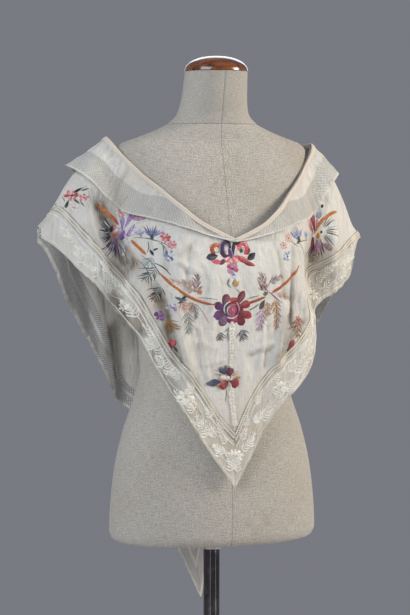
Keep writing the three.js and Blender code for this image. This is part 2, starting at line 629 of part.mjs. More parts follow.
add("front_panel", frontPanel(), COTTON);
add("back_panel", backPanel(), COTTON);
[["left", -1], ["right", 1]].forEach(([word, side]) => {
  add(`insertion_${word}`, insertion(side), LACE);
  add(`border_${word}`, border(side), COTTON);
  add(`collar_${word}`, collar(side), COTTON);
  add(`neck_hem_${word}`, neckHem(side), LACE);
});
add("centre_braid", centreBraid(), LACE);
add("form_body", formBody(), LINEN);
add("neck_cap", neckCap(), WOOD);
add("pole_socket", poleSocket(), STEEL);
add("pole", pole(), STEEL);
add("stand_foot", foot(), STEEL);

export default canezou;
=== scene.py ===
import math

import bpy
import numpy as np
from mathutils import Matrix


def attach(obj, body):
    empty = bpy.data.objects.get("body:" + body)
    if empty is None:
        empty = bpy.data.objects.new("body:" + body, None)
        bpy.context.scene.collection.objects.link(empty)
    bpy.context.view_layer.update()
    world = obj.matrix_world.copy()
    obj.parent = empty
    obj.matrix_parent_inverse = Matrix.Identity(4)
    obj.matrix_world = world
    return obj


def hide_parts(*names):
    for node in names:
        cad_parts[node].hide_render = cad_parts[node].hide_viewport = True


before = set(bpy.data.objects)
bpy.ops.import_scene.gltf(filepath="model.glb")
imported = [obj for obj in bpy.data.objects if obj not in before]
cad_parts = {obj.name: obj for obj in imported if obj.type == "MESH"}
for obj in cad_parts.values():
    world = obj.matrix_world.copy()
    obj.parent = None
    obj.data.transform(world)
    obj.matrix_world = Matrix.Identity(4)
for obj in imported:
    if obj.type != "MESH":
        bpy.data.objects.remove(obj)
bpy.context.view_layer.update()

# The stand's foot, pole and socket. A turned steel disc with a short hub, a black polished tube
# that stands in the hub, and a bright ring under the form that the tube slides into. All lengths
# in this file are millimetres until a mesh is made, except in materials, which use metres.
MM = 0.001
POLE_RADIUS = 13.0
POLE_SPAN = (30.3, 773.7)
SOCKET = dict(bore=13.3, radius=16.0, low=753.7, high=773.7)
FOOT = dict(radius=190.0, height=12.0, round=3.0, hub=26.0, hub_top=24.0, hub_height=30.0)


def make_piece(name, points, faces, material, slot, stands_for=(), sharp=35):
    """A mesh from points in millimetres that rides on the stand and may stand for solid nodes."""
    mesh = bpy.data.meshes.new(name)
    mesh.from_pydata((np.asarray(points) * MM).tolist(), [], [list(face) for face in faces])
    mesh.polygons.foreach_set("use_smooth", [True] * len(mesh.polygons))
    mesh.set_sharp_from_angle(angle=math.radians(sharp))
    mesh.materials.append(material)
    piece = bpy.data.objects.new(name, mesh)
    bpy.context.collection.objects.link(piece)
    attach(piece, "root")
    if stands_for:
        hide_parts(*stands_for)
    return piece


def turned(outline, sides, y=0.0):
    """Points and faces of a lathe-turned piece. Its outline is radius and height, end to end."""
    points, faces = [], []
    rows = len(outline)
    for k in range(sides):
        turn = 2 * math.pi * k / sides
        for radius, height in outline:
            points.append((radius * math.cos(turn), y + radius * math.sin(turn), height))
    for k in range(sides):
        near, far = k * rows, (k + 1) % sides * rows
        for j in range(rows - 1):
            faces.append((near + j, far + j, far + j + 1, near + j + 1))
    return points, faces


def rounded(radius, height, round_over, steps=6, down=False):
    """The quarter round at a turned piece's edge, as radius and height."""
    arc = []
    for i in range(steps + 1):
        turn = math.pi / 2 * i / steps
        rise = height - round_over + round_over * math.sin(turn)
        if down:
            rise = height + round_over - round_over * math.sin(turn)
        arc.append((radius - round_over + round_over * math.cos(turn), rise))
    return arc[::-1] if down else arc


def new_material(name, base=(0.8, 0.8, 0.8), rough=0.5, metal=0.0):
    """A material with its shader, and what is the same all over set on the shader itself."""
    material = bpy.data.materials.new(name)
    material.use_nodes = True
    shader = material.node_tree.nodes["Principled BSDF"]
    shader.inputs["Base Color"].default_value = (*base, 1)
    shader.inputs["Roughness"].default_value = rough
    shader.inputs["Metallic"].default_value = metal
    return material, material.node_tree, shader


def add_node(tree, kind, sockets=None, **settings):
    """A node with its settings, and its sockets linked or set by name or number."""
    made = tree.nodes.new(kind)
    for key, value in settings.items():
        setattr(made, key, value)
    for key, value in (sockets or {}).items():
        if isinstance(value, bpy.types.NodeSocket):
            tree.links.new(value, made.inputs[key])
        else:
            made.inputs[key].default_value = value
    return made


def calc(tree, operation, a, b=0.0, c=0.0):
    """A number worked out from one to three others."""
    return add_node(tree, "ShaderNodeMath", {0: a, 1: b, 2: c}, operation=operation).outputs[0]


def times(tree, a, b):
    return calc(tree, "MULTIPLY", a, b)


def object_place(tree):
    return add_node(tree, "ShaderNodeTexCoord").outputs["Object"]


def soft_noise(tree, place, scale, detail=3.0, stretch=(1, 1, 1)):
    """Noise from 0 to 1 at a place, drawn out along some of its directions."""
    drawn = add_node(tree, "ShaderNodeVectorMath", {0: place, 1: stretch}, operation="MULTIPLY")
    sockets = {"Vector": drawn.outputs[0], "Scale": scale, "Detail": detail}
    return add_node(tree, "ShaderNodeTexNoise", sockets).outputs[0]


def spread(tree, value, low, high, to_low=0.0, to_high=1.0):
    """A value's stretch from low to high carried over to another, smoothly."""
    sockets = {0: value, 1: low, 2: high, 3: to_low, 4: to_high}
    made = add_node(tree, "ShaderNodeMapRange", sockets, interpolation_type="SMOOTHSTEP")
    return made.outputs[0]


def blend_colours(tree, share, first, second, way="MIX"):
    """Two colours mixed by a share from 0 to 1."""
    made = add_node(tree, "ShaderNodeMix", {0: share}, data_type="RGBA", blend_type=way)
    for socket, colour in ((made.inputs[6], first), (made.inputs[7], second)):
        if isinstance(colour, bpy.types.NodeSocket):
            tree.links.new(colour, socket)
        else:
            socket.default_value = (*colour, 1)
    return made.outputs[2]


def add_bump(tree, shader, height, strength, distance):
    """Relief from a height, on the shader's normal."""
    sockets = {"Height": height, "Strength": strength, "Distance": distance}
    bump = add_node(tree, "ShaderNodeBump", sockets)
    tree.links.new(bump.outputs[0], shader.inputs["Normal"])


def metal(name, base, rough, wear):
    """Polished metal with fine turning marks and rubbed, slightly duller patches."""
    material, tree, shader = new_material(name, base, rough, 1.0)
    place = object_place(tree)
    rubbed = spread(tree, soft_noise(tree, place, 60, 4), 0.45, 0.7)
    marks = soft_noise(tree, place, 900, 2, (0.2, 0.2, 3))
    duller = calc(tree, "MULTIPLY_ADD", rubbed, wear, rough)
    tree.links.new(duller, shader.inputs["Roughness"])
    tree.links.new(blend_colours(tree, rubbed, base, [c * 1.5 for c in base]), shader.inputs["Base Color"])
    add_bump(tree, shader, marks, 0.12, 0.0002)
    return material


black_metal = metal("blackened steel", (0.11, 0.10, 0.10), 0.10, 0.05)
bright_metal = metal("bright steel", (0.42, 0.41, 0.41), 0.24, 0.16)

foot_outline = [(0, 0), (FOOT["radius"] - 1, 0), (FOOT["radius"], 1)]
foot_outline += rounded(FOOT["radius"], FOOT["height"], FOOT["round"])
foot_outline += [(FOOT["hub"] + 8, FOOT["height"]), (FOOT["hub"] + 3, FOOT["height"] + 2)]
foot_outline += [(FOOT["hub"], FOOT["height"] + 6)]
foot_outline += rounded(FOOT["hub_top"], FOOT["hub_height"], 2)
foot_outline += [(0, FOOT["hub_height"])]
make_piece("foot_disc", *turned(foot_outline, 96), black_metal, "black_metal", ["stand_foot"])

pole_outline = [(0, POLE_SPAN[0]), (POLE_RADIUS, POLE_SPAN[0])]
pole_outline += [(POLE_RADIUS, POLE_SPAN[1]), (0, POLE_SPAN[1])]
make_piece("pole_tube", *turned(pole_outline, 64), black_metal, "black_metal", ["pole"])

socket_outline = [(SOCKET["bore"], SOCKET["low"] + 0.6)]
socket_outline += rounded(SOCKET["radius"], SOCKET["low"], 1.2, 4, down=True)
socket_outline += [(SOCKET["radius"], SOCKET["high"]), (SOCKET["bore"], SOCKET["high"])]
socket_outline += [(SOCKET["bore"], SOCKET["low"] + 0.6)]
make_piece("socket_ring", *turned(socket_outline, 64), bright_metal, "bright_metal", ["pole_socket"])

# The dress form. A hollow padded shell under a cover of natural linen, sewn with seams down the
# middle and the sides and one round the foot of the neck. The neck leans a little forward.


def table(columns, rows):
    """A table's rows by the names of its columns. A row may leave off its last ones."""
    return [dict(zip(columns.split(), row)) for row in rows]


FORM = table("z half middle front back power", [
    (774, 158, -4, -104, 90, 2.1),
    (778, 164, -4, -109, 96, 2.1),
    (790, 168, -4, -113, 99, 2.1),
    (830, 166, -4, -115, 101, 2.1),
    (890, 159, -4, -112, 97, 2.1),
    (950, 145, -4, -104, 85, 2.1),
    (1000, 128, -4, -95, 72, 2.1),
    (1045, 118, -4, -90, 64, 2.1),
    (1085, 119, -3, -94, 66, 2.1),
    (1130, 130, -1, -106, 75, 2.2),
    (1185, 141, 0, -117, 88, 2.3),
    (1240, 145, 1, -110, 99, 2.3),
    (1290, 147, 3, -92, 102, 2.4),
    (1340, 149.5, 4, -76, 97.6, 2.4),
    (1372, 155.2, 4, -66, 84, 2.3),
    (1391, 155.8, 3, -59, 71, 2.2),
    (1402, 146, 2, -55, 62, 2.1),
    (1410, 124, 0, -54, 57, 2.1),
    (1419, 100, -1, -54, 53, 2.1),
    (1431, 75, -3, -54, 50, 2),
    (1447, 58, -6, -57, 45, 2),
    (1465, 53, -12, -63, 38, 2),
    (1514, 49, -25.5, -75, 24, 2),
])
FORM_NET = dict(around=220, up=260)
WRAP_RADIUS = 140
BUST = dict(x=68, z=1180, wide=42, high=55, out=11, ease=0.5)
SEAM_SINK = dict(centre=0.9, neck=1.1, side=0.7, width=1.6, puff=0.25, puff_width=6,
                 puff_off=4, side_y=-6)
NECK_SEAM_Z = 1432
LINEN = dict(light=(0.60, 0.555, 0.49), dark=(0.36, 0.325, 0.28), seam=(0.16, 0.14, 0.115),
             thread=0.00085)


def curve_through(places, values, at, level=False):
    """A smooth curve through points, without overshoot, at one place or many. level starts it flat."""
    places, at = np.asarray(places, float), np.asarray(at, float)
    values = np.asarray(values, float)
    if values.ndim == 1:
        values = np.repeat(values[:, None], at.size, axis=1).reshape((len(places), *at.shape))
    spans = np.diff(places).reshape((-1,) + (1,) * at.ndim)
    rise = np.diff(values, axis=0) / spans
    product = rise[:-1] * rise[1:]
    total = np.where(product > 0, rise[:-1] + rise[1:], 1)
    inner = np.where(product > 0, 2 * product / total, 0)
    first = rise[:1] * (0 if level else 1)
    slopes = np.concatenate([first, inner, rise[-1:]])
    i = np.clip(np.searchsorted(places, at) - 1, 0, len(places) - 2)
    pick = lambda table, index: np.take_along_axis(table, index[None], axis=0)[0]
    span = np.diff(places)[i]
    t = np.clip((at - places[i]) / span, 0, 1)
    u = 1 - t
    start = (1 + 2 * t) * u * u * pick(values, i) + t * u * u * span * pick(slopes, i)
    end = t * t * (3 - 2 * t) * pick(values, i + 1) - t * t * u * span * pick(slopes, i + 1)
    before = np.minimum(at - places[0], 0) * pick(slopes, np.zeros_like(i))
    after = np.maximum(at - places[-1], 0) * pick(slopes, np.full_like(i, len(places) - 1))
    return start + end + before + after


def column(table, key, name, at, level=False):
    return curve_through([row[key] for row in table], [row[name] for row in table], at, level)


def form_surface(turn, z):
    """Points of the form's cover, all round it and at any height."""
    part = {name: column(FORM, "z", name, z) for name in FORM[0]}
    c, s = np.cos(turn), np.sin(turn)
    power = 2 / part["power"]
    reach = np.where(s < 0, part["middle"] - part["front"], part["back"] - part["middle"])
    x = part["half"] * np.sign(c) * np.abs(c) ** power
    y = part["middle"] + reach * np.sign(s) * np.abs(s) ** power
    near = ((np.abs(x) - BUST["x"]) / BUST["wide"]) ** 2 + ((z - BUST["z"]) / BUST["high"]) ** 2
    y -= np.where(s < 0, BUST["out"] * np.exp(-near) * np.abs(s) ** BUST["ease"], 0)
    below_neck = 1 / (1 + np.exp((z - NECK_SEAM_Z) / 2))
    seams = SEAM_SINK["centre"] * np.exp(-((x / SEAM_SINK["width"]) ** 2))
    seams += SEAM_SINK["side"] * np.exp(-(((y - SEAM_SINK["side_y"]) / SEAM_SINK["width"]) ** 2)) * below_neck
    seams += SEAM_SINK["neck"] * np.exp(-(((z - NECK_SEAM_Z) / SEAM_SINK["width"]) ** 2))
    puff = SEAM_SINK["puff"] * np.exp(-(((np.abs(x) - SEAM_SINK["puff_off"]) / SEAM_SINK["puff_width"]) ** 2))
    inward = seams - puff
    return np.stack([x - inward * c, y - inward * s, z + 0 * x], axis=-1)


def grid_faces(columns, rows):
    corners = [i * rows + j for i in range(columns - 1) for j in range(rows - 1)]
    return [(near, near + rows, near + rows + 1, near + 1) for near in corners]


def new_group(name, numbers, results):
    """A node group that takes a place and some numbers and puts out numbers, with its two ends."""
    tree = bpy.data.node_groups.new(name, "ShaderNodeTree")
    tree.interface.new_socket(name="Place", in_out="INPUT", socket_type="NodeSocketVector")
    for in_out, names in (("INPUT", numbers), ("OUTPUT", results)):
        for socket in names:
            tree.interface.new_socket(name=socket, in_out=in_out, socket_type="NodeSocketFloat")
    return tree, add_node(tree, "NodeGroupInput").outputs, add_node(tree, "NodeGroupOutput")


def parts_of(tree, place):
    return add_node(tree, "ShaderNodeSeparateXYZ", {0: place}).outputs


def map_place(tree, name):
    return add_node(tree, "ShaderNodeUVMap", uv_map=name).outputs[0]


def grey_of(tree, tone):
    return add_node(tree, "ShaderNodeCombineColor", {0: tone, 1: tone, 2: tone}).outputs[0]


def set_sheen(shader, weight, rough):
    shader.inputs["Sheen Weight"].default_value = weight
    shader.inputs["Sheen Roughness"].default_value = rough


def weave_group():
    """Plain weave: thread relief, a shade painted lighter on the threads' crowns, and slubs along both ways.
    """
    tree, given, result = new_group("plain weave", ("Thread", "Slub"), ("Relief", "Shade"))
    wander = soft_noise(tree, given["Place"], 70, 2)
    along = parts_of(tree, given["Place"])
    waves = []
    for k in (0, 1):
        bent = calc(tree, "MULTIPLY_ADD", wander, 0.004, along[k])
        count = calc(tree, "DIVIDE", bent, given["Thread"])
        waves.append(calc(tree, "SINE", times(tree, count, math.pi)))
    over = times(tree, waves[0], waves[1])
    on_top, below = spread(tree, over, -0.5, 0.5, 0.5, 1), spread(tree, over, -0.5, 0.5, 1, 0.5)
    warp = times(tree, calc(tree, "ABSOLUTE", waves[0]), on_top)
    weft = times(tree, calc(tree, "ABSOLUTE", waves[1]), below)
    threads = calc(tree, "MAXIMUM", warp, weft)
    slubs_up = soft_noise(tree, given["Place"], 220, 2, (4, 0.30, 1))
    slubs_across = soft_noise(tree, given["Place"], 220, 2, (0.30, 4, 1))
    slubs = calc(tree, "ADD", slubs_up, slubs_across)
    swell = times(tree, calc(tree, "SUBTRACT", slubs, 1.0), given["Slub"])
    relief = calc(tree, "ADD", threads, swell)
    # The shade follows the slubs, with the crowns of the threads painted lighter.
    shade = spread(tree, calc(tree, "ADD", swell, times(tree, threads, 0.25)), -0.35, 0.6)
    tree.links.new(relief, result.inputs["Relief"])
    tree.links.new(shade, result.inputs["Shade"])
    return tree


def from_group(tree, group, sockets):
    return add_node(tree, "ShaderNodeGroup", sockets, node_tree=group).outputs


plain_weave = weave_group()


def linen():
    """Natural linen: uneven threads, darker slubs, a little soiling and a soft hairy sheen."""
    material, tree, shader = new_material("natural linen", LINEN["light"], 0.92)
    place = map_place(tree, "cut")
    woven = from_group(tree, plain_weave, {"Place": place, "Thread": LINEN["thread"], "Slub": 1.0})
    body = object_place(tree)
    shade_and_soil = spread(tree, soft_noise(tree, body, 9, 4), 0.4, 0.75)
    # Darker slubs, and painted light on the crowns of the threads.
    threads = blend_colours(tree, woven["Shade"], LINEN["dark"], LINEN["light"])
    soiled = blend_colours(tree, shade_and_soil, threads, (0.93, 0.9, 0.86), "MULTIPLY")
    parts = parts_of(tree, body)
    off_middle = calc(tree, "ABSOLUTE", parts[0])
    off_neck = calc(tree, "ABSOLUTE", calc(tree, "SUBTRACT", parts[2], NECK_SEAM_Z * MM))
    seam = spread(tree, calc(tree, "MINIMUM", off_middle, off_neck), 0.0003, 0.0014, 1, 0)
    soiled = blend_colours(tree, times(tree, seam, 0.38), soiled, LINEN["seam"])
    fibres = spread(tree, soft_noise(tree, place, 760, 2, (1.2, 0.8, 1)), 0.3, 0.7, 0.62, 1.22)
    hairy = blend_colours(tree, 1.0, soiled, grey_of(tree, fibres), "MULTIPLY")
    tree.links.new(hairy, shader.inputs["Base Color"])
    tree.links.new(spread(tree, woven["Relief"], 0, 1.5, 0.98, 0.84), shader.inputs["Roughness"])
    set_sheen(shader, 0.18, 0.45)
    add_bump(tree, shader, woven["Relief"], 0.5, 0.0004)
    return material


def set_map(piece, name, places):
    """Writes each point's flat place, in metres: "cut" is on the cloth, "edge" along and off an edge."""
    mesh = piece.data
    layer = mesh.uv_layers.new(name=name)
    corners = np.empty(len(mesh.loops), dtype=np.int32)
    mesh.loops.foreach_get("vertex_index", corners)
    flat = np.asarray(places).reshape(-1, 2)[corners] * MM
    layer.data.foreach_set("uv", flat.astype(np.float32).ravel())


form_turns = np.linspace(-1.5 * np.pi, 0.5 * np.pi, FORM_NET["around"] + 1)
form_low, form_high = FORM[0], FORM[-1]
form_heights = form_low["z"] + (form_high["z"] - form_low["z"]) * np.linspace(0, 1, FORM_NET["up"] + 1)
turn_grid, height_grid = np.meshgrid(form_turns, form_heights, indexing="ij")
form_points = form_surface(turn_grid, height_grid)
form_flat = np.stack([turn_grid * WRAP_RADIUS, height_grid], axis=-1).reshape(-1, 2)
form_flat = np.concatenate([form_flat, [(0, form_low["z"]), (0, form_high["z"])]])
rows = FORM_NET["up"] + 1
form_faces = grid_faces(FORM_NET["around"] + 1, rows)
under, over = len(form_flat) - 2, len(form_flat) - 1
starts = range(0, FORM_NET["around"] * rows, rows)
form_faces += [(under, near + rows, near) for near in starts]
form_faces += [(over, near + rows - 1, near + 2 * rows - 1) for near in starts]
form_ends = [(0, end["middle"], end["z"]) for end in (form_low, form_high)]
form_points = np.concatenate([form_points.reshape(-1, 3), form_ends])
form_cover = make_piece("form_cover", form_points, form_faces, linen(), "linen", ["form_body"])
set_map(form_cover, "cut", form_flat)

# The neck cap. One turned piece of red-brown wood, a low dome that closes the top of the neck,
# sanded and polished, with its grain running across.
CAP = dict(radius=49.5, y=-25.5, low=1514.3, height=24, flatness=0.9, edge=0.8, steps=24)
WOOD = dict(dark=(0.045, 0.011, 0.004), light=(0.25, 0.075, 0.02))


def polished_wood():
    material, tree, shader = new_material("polished wood", WOOD["light"], 0.2)
    place = object_place(tree)
    bands = soft_noise(tree, place, 34, 5, (0.5, 3.4, 3.4))
    pores = soft_noise(tree, place, 620, 3, (0.12, 1, 1))
    grain = calc(tree, "MULTIPLY_ADD", pores, 0.25, bands)
    tree.links.new(
        blend_colours(tree, spread(tree, grain, 0.42, 0.82), WOOD["dark"], WOOD["light"]),
        shader.inputs["Base Color"],
    )
    tree.links.new(spread(tree, pores, 0.3, 0.7, 0.16, 0.28), shader.inputs["Roughness"])
    shader.inputs["Coat Weight"].default_value = 0.6
    shader.inputs["Coat Roughness"].default_value = 0.08
    add_bump(tree, shader, pores, 0.06, 0.0002)
    return material


cap_outline = [(0, CAP["low"]), (CAP["radius"] - 1, CAP["low"])]
for step in range(CAP["steps"] + 1):
    rise = math.pi / 2 * step / CAP["steps"]
    radius = CAP["radius"] * max(0, math.cos(rise)) ** CAP["flatness"]
    height = CAP["low"] + CAP["edge"] + (CAP["height"] - CAP["edge"]) * math.sin(rise)
    cap_outline.append((radius if step < CAP["steps"] else 0, height))
make_piece("wooden_cap", *turned(cap_outline, 96, CAP["y"]), polished_wood(), "wood", ["neck_cap"])

# The front panel. One piece of sheer white cotton lawn, cut on the straight with a pointed lower
# edge, hung from the neck and the shoulder seams. The tables give its ridge, hang, seams and folds.
RIDGE = table("x y left right roll", [
    (0, 2, 1446, 1446, 30),
    (150, 8, 1413, 1408, 30),
    (169, 11, 1405, 1397, 30),
    (190, 18, 1384, 1376, 28),
    (210, 26, 1362, 1346, 25),
    (228, 36, 1336, 1312, 20),
    (243, 44, 1308, 1278, 15),
    (256, 50, 1287, 1262, 11),
    (270, 56, 1270, 1250, 8),
])
FRONT_STATIONS = dict(mid=0, bust=72, side=106, fold=128, hollow=156, wing=192, outer=230, tip=270)
FRONT_DEPTH = table("z mid bust side fold hollow wing outer tip", [
    (1410, -62, -58, -42, -30, -12, 2, 20, 46),
    (1350, -84, -78, -62, -48, -24, -10, 12, 46),
    (1300, -106, -100, -80, -62, -30, -24, 4, 40),
    (1250, -124, -118, -97, -76, -34, -38, -4, 26),
    (1185, -136, -132, -114, -92, -42, -50, -18, 16),
    (1110, -134, -130, -118, -104, -72, -60, -34, 6),
    (1035, -128, -126, -118, -111, -102, -90, -60, -20),
    (950, -125, -122, -117, -113, -106, -98, -80, -50),
    (860, -127, -122, -117, -113, -106, -98, -80, -50),
])
INNER_SEAM = table("x left right", [
    (0, 955, 955),
    (25, 984, 1010),
    (50, 1022, 1046),
    (75, 1056, 1070),
    (100, 1088, 1092),
    (125, 1137, 1124),
    (140, 1172, 1172),
    (155, 1195, 1204),
    (175, 1216, 1214),
    (200, 1249, 1229),
    (225, 1284, 1245),
    (240, 1301, 1254),
    (256, 1310, 1261),
    (270, 1318, 1262),
])
FRONT_FOLDS = table("name x0 z0 x1 z1 width out", [
    ("left pleat", -104, 1190, -72, 1050, 9, 5),
    ("left pleat bed", -120, 1185, -88, 1062, 9, -5),
    ("right pleat", 80, 1150, 66, 1060, 9, 5),
    ("right pleat bed", 95, 1150, 82, 1072, 9, -4),
    ("left gather one", -112, 1250, -116, 1190, 8, 4),
    ("left gather two", -90, 1240, -92, 1160, 8, 3.5),
    ("right gather one", 112, 1262, 118, 1150, 9, 5),
    ("right gather two", 92, 1240, 98, 1170, 8, 4),
    ("left of centre", -34, 1215, -44, 1075, 12, 3),
    ("right of centre", 28, 1210, 34, 1090, 12, 3),
    ("right side fold", 118, 1235, 120, 1130, 12, 8),
    ("right side fold bed", 138, 1225, 138, 1150, 12, -10),
    ("right wing falls back", 165, 1190, 225, 1150, 42, -22),
    ("left border roll", -198, 1232, -142, 1168, 15, 6),
    ("left border trough", -168, 1160, -140, 1118, 13, -6),
    ("left wing pleat", -238, 1262, -205, 1205, 10, 5),
    ("right wing pleat", 240, 1240, 206, 1190, 10, 6),
    ("left hem wave", -120, 1080, -96, 1020, 10, -4),
    ("right hem wave", 118, 1085, 98, 1020, 10, 4),
])
COLLAR_FRONT = table("along neckX neckZ edgeX edgeZ rightIn stand", [
    (0, 0, 1254, 0, 1248, 0, 0.8),
    (0.08, 30, 1268, 38, 1256, 0, 1.5),
    (0.16, 50, 1279, 66, 1264, 0, 2),
    (0.24, 74, 1299, 94, 1273, 0, 3),
    (0.32, 98, 1323, 122, 1281, 0, 4),
    (0.4, 122, 1346, 150, 1291, 2, 6),
    (0.48, 145, 1374, 178, 1311, 6, 8),
    (0.54, 159, 1391, 199, 1338, 9, 11),
    (0.6, 167, 1404, 216, 1353, 11, 14),
])
FRONT_CREASES = table("name x0 z0 x1 z1 width out", [
    ("left of bow", -62, 1236, -76, 1158, 5, 1.7),
    ("left of bow bed", -70, 1240, -84, 1166, 4, -1.5),
    ("beside left spray", -100, 1200, -84, 1120, 4, 1.9),
    ("left lower", -66, 1120, -50, 1040, 5, 1.6),
    ("left of braid", -22, 1120, -20, 1010, 5, 0.7),
    ("right of braid", 16, 1130, 12, 1020, 5, 0.8),
    ("right lower", 46, 1110, 34, 1040, 5, 1.7),
    ("right of rose", 52, 1180, 58, 1112, 5, 1.6),
    ("right gather", 104, 1255, 104, 1180, 4, 1.3),
    ("right gather bed", 110, 1258, 112, 1172, 4, -1.1),
    ("below left collar one", -150, 1288, -132, 1216, 6, 1.2),
    ("below left collar two", -176, 1300, -164, 1240, 6, 1.3),
    ("left shoulder", -214, 1320, -196, 1252, 6, 1.4),
    ("right shoulder", 204, 1300, 190, 1236, 6, 1.4),
    ("right shoulder two", 182, 1296, 168, 1232, 6, 1.2),
    ("centre drag", -4, 1220, -30, 1180, 6, 0.6),
    ("left pleat lip", -104, 1170, -76, 1058, 2.8, 4.2),
    ("left pleat under", -110, 1172, -82, 1060, 3.2, -4.6),
    ("right pleat lip", 77, 1134, 67, 1066, 3.6, 4.0),
    ("right pleat under", 83, 1134, 73, 1068, 4.0, -4.0),
    ("left hollow", -188, 1300, -148, 1216, 8, -7),
    ("left wing roll", -206, 1322, -202, 1258, 9, 7),
    ("left hollow lip", -198, 1256, -152, 1205, 5, 4),
    ("left gather three", -128, 1252, -122, 1186, 4, 2.2),
    ("left gather three bed", -120, 1250, -116, 1180, 4, -2.4),
    ("left gather four", -100, 1238, -103, 1176, 4, -1.8),
    ("right gather three", 100, 1236, 96, 1128, 4, 3.4),
    ("right gather three bed", 94, 1236, 89, 1124, 4, -3.2),
    ("right gather four", 122, 1226, 112, 1120, 4, -3.2),
    ("drag from left bow tip", -58, 1234, -40, 1188, 5, 1.3),
    ("drag from right bow tip", 48, 1238, 62, 1196, 5, 1.4),
    ("low left drag", -66, 1098, -30, 1088, 5, 1.8),
    ("low right drag", 22, 1082, 60, 1094, 5, 2.1),
    ("low right drag bed", 24, 1075, 58, 1084, 4, -1.6),
    ("upper left drag", -92, 1222, -60, 1206, 4.5, 1.8),
    ("upper left drag bed", -94, 1214, -64, 1197, 4, -1.6),
    ("beside rose", -44, 1182, -36, 1120, 4, 1.5),
    ("right of bow", 62, 1232, 70, 1160, 5, 1.7),
    ("right of bow bed", 70, 1232, 78, 1158, 4, -1.7),
    ("low left pleat", -58, 1118, -44, 1040, 3.4, 1.9),
    ("low left pleat bed", -64, 1116, -50, 1040, 3.4, -1.8),
    ("low right pleat", 44, 1120, 40, 1056, 3.4, 1.7),
    ("low right pleat bed", 50, 1120, 46, 1058, 3.4, -1.7),
    ("low centre drag", -50, 1062, -20, 1068, 4, 1.6),
])
# Lines of painted shade in the hollows, troughs and pleat beds and under the collar, lace and batons, with
# some real brown staining, each with its width and strength.
FRONT_SHADE_AND_STAINS = table("name x0 z0 x1 z1 width out", [
    ("left hollow", -191, 1306, -149, 1212, 12, 1.1),
    ("left border stain", -174, 1216, -148, 1184, 7, 0.44),
    ("below left baton", -150, 1232, -126, 1188, 8, 0.28),
    ("left pleat bed", -111, 1166, -86, 1066, 5.5, 0.68),
    ("left border roll", -206, 1262, -152, 1196, 12, 0.24),
    ("left border trough", -174, 1172, -136, 1110, 9, 0.20),
    ("right pleat bed", 79, 1136, 68, 1066, 4.5, 0.36),
    ("right gathers", 100, 1240, 92, 1116, 5, 0.28),
    ("along right lace", 58, 1062, 120, 1128, 6, 0.28),
    ("along left lace", -52, 1030, -112, 1116, 5, 0.20),
    ("the point", 0, 975, 0, 905, 20, 0.30),
    ("right border", 30, 980, 92, 1044, 12, 0.18),
    ("right wing trough", 128, 1150, 176, 1176, 12, 0.20),
    ("below left collar", -60, 1251, -86, 1230, 5, 0.28),
    ("below right collar", 34, 1252, 70, 1252, 4, 0.24),
])
WALL = 1.2
SEAM = 0.4
SHOULDER_FROM = 160
GIRTH = dict(reach=275, places=1101, run=150)
TILT = dict(by=4, reach=100)
# Fold troughs are painted in shade down to a depth, with less of it far to the right, where the key lamp
# falls.
LESS_SHADE_RIGHT = dict(start=88, over=22, by=0.65)
FOLD_SHADE_DEPTH = 5
PANEL_END = 1.5
WING_END = dict(left=270, right=258)
CLOTH_LIFT = 0.6
CLOTH_THICKNESS = 0.5
FRONT_NET = dict(columns=250, rows=150)
TAIL_LEAN = dict(start=800, to=645, by=20, ease=1.3)


def sided(table, x):
    """The value at x of a line that is given on both sides of the middle."""
    across = np.abs(x)
    return np.where(x < 0, column(table, "x", "left", across), column(table, "x", "right", across))


def fold_at(folds, x, z):
    total = np.zeros_like(x)
    for fold in folds:
        dx, dz = fold["x1"] - fold["x0"], fold["z1"] - fold["z0"]
        along = ((x - fold["x0"]) * dx + (z - fold["z0"]) * dz) / (dx * dx + dz * dz)
        near = np.clip(along, 0, 1)
        away = np.hypot(x - fold["x0"] - near * dx, z - fold["z0"] - near * dz)
        total += fold["out"] * np.exp(-((away / fold["width"]) ** 2))
    return total


def hang_depth(side, x, z):
    """How far forward or back the cloth hangs at a place, without its folds."""
    rows = sorted(side["depth"], key=lambda row: row["z"])
    heights = [row["z"] for row in rows]
    names = list(side["stations"])
    values = [curve_through(heights, [row[name] for row in rows], z) for name in names]
    return curve_through(list(side["stations"].values()), values, np.abs(x), level=True)


def cape_point(side, x, run):
    """A point of the cape's surface, at x and at a run down from the shoulder line."""
    x, run = np.broadcast_arrays(np.asarray(x, float), np.asarray(run, float))
    roll = column(RIDGE, "x", "roll", np.abs(x))
    turned_by = np.minimum(np.pi / 2, run / roll)
    drop = roll * (1 - np.cos(turned_by)) + np.maximum(0, run - roll * np.pi / 2)
    z = sided(RIDGE, x) - drop
    top = column(RIDGE, "x", "y", np.abs(x))
    lean = np.maximum(0, (TAIL_LEAN["start"] - z) / (TAIL_LEAN["start"] - TAIL_LEAN["to"]))
    out = fold_at(side["folds"], x, z) * side["outward"]
    hang = hang_depth(side, x, z) + out
    aside = TAIL_LEAN["by"] * lean ** TAIL_LEAN["ease"]
    return np.stack([x + aside, top + (hang - top) * np.sin(turned_by), z], axis=-1)


def run_to(x, z):
    """The run down from the shoulder line to a height."""
    x = np.asarray(x, float)
    roll = column(RIDGE, "x", "roll", np.abs(x))
    drop = np.maximum(0, sided(RIDGE, x) - z)
    turned_by = roll * np.arccos(np.clip(1 - drop / roll, -1, 1))
    return np.where(drop > roll, drop - roll + roll * np.pi / 2, turned_by)


def cape_normal(side, x, run):
    step = 0.5
    low = np.maximum(run - step, 0.01)
    across = cape_point(side, x + step, run) - cape_point(side, x - step, run)
    down = cape_point(side, x, run + step) - cape_point(side, x, low)
    normal = np.cross(down, across) * -side["outward"]
    return normal / np.linalg.norm(normal, axis=-1, keepdims=True)


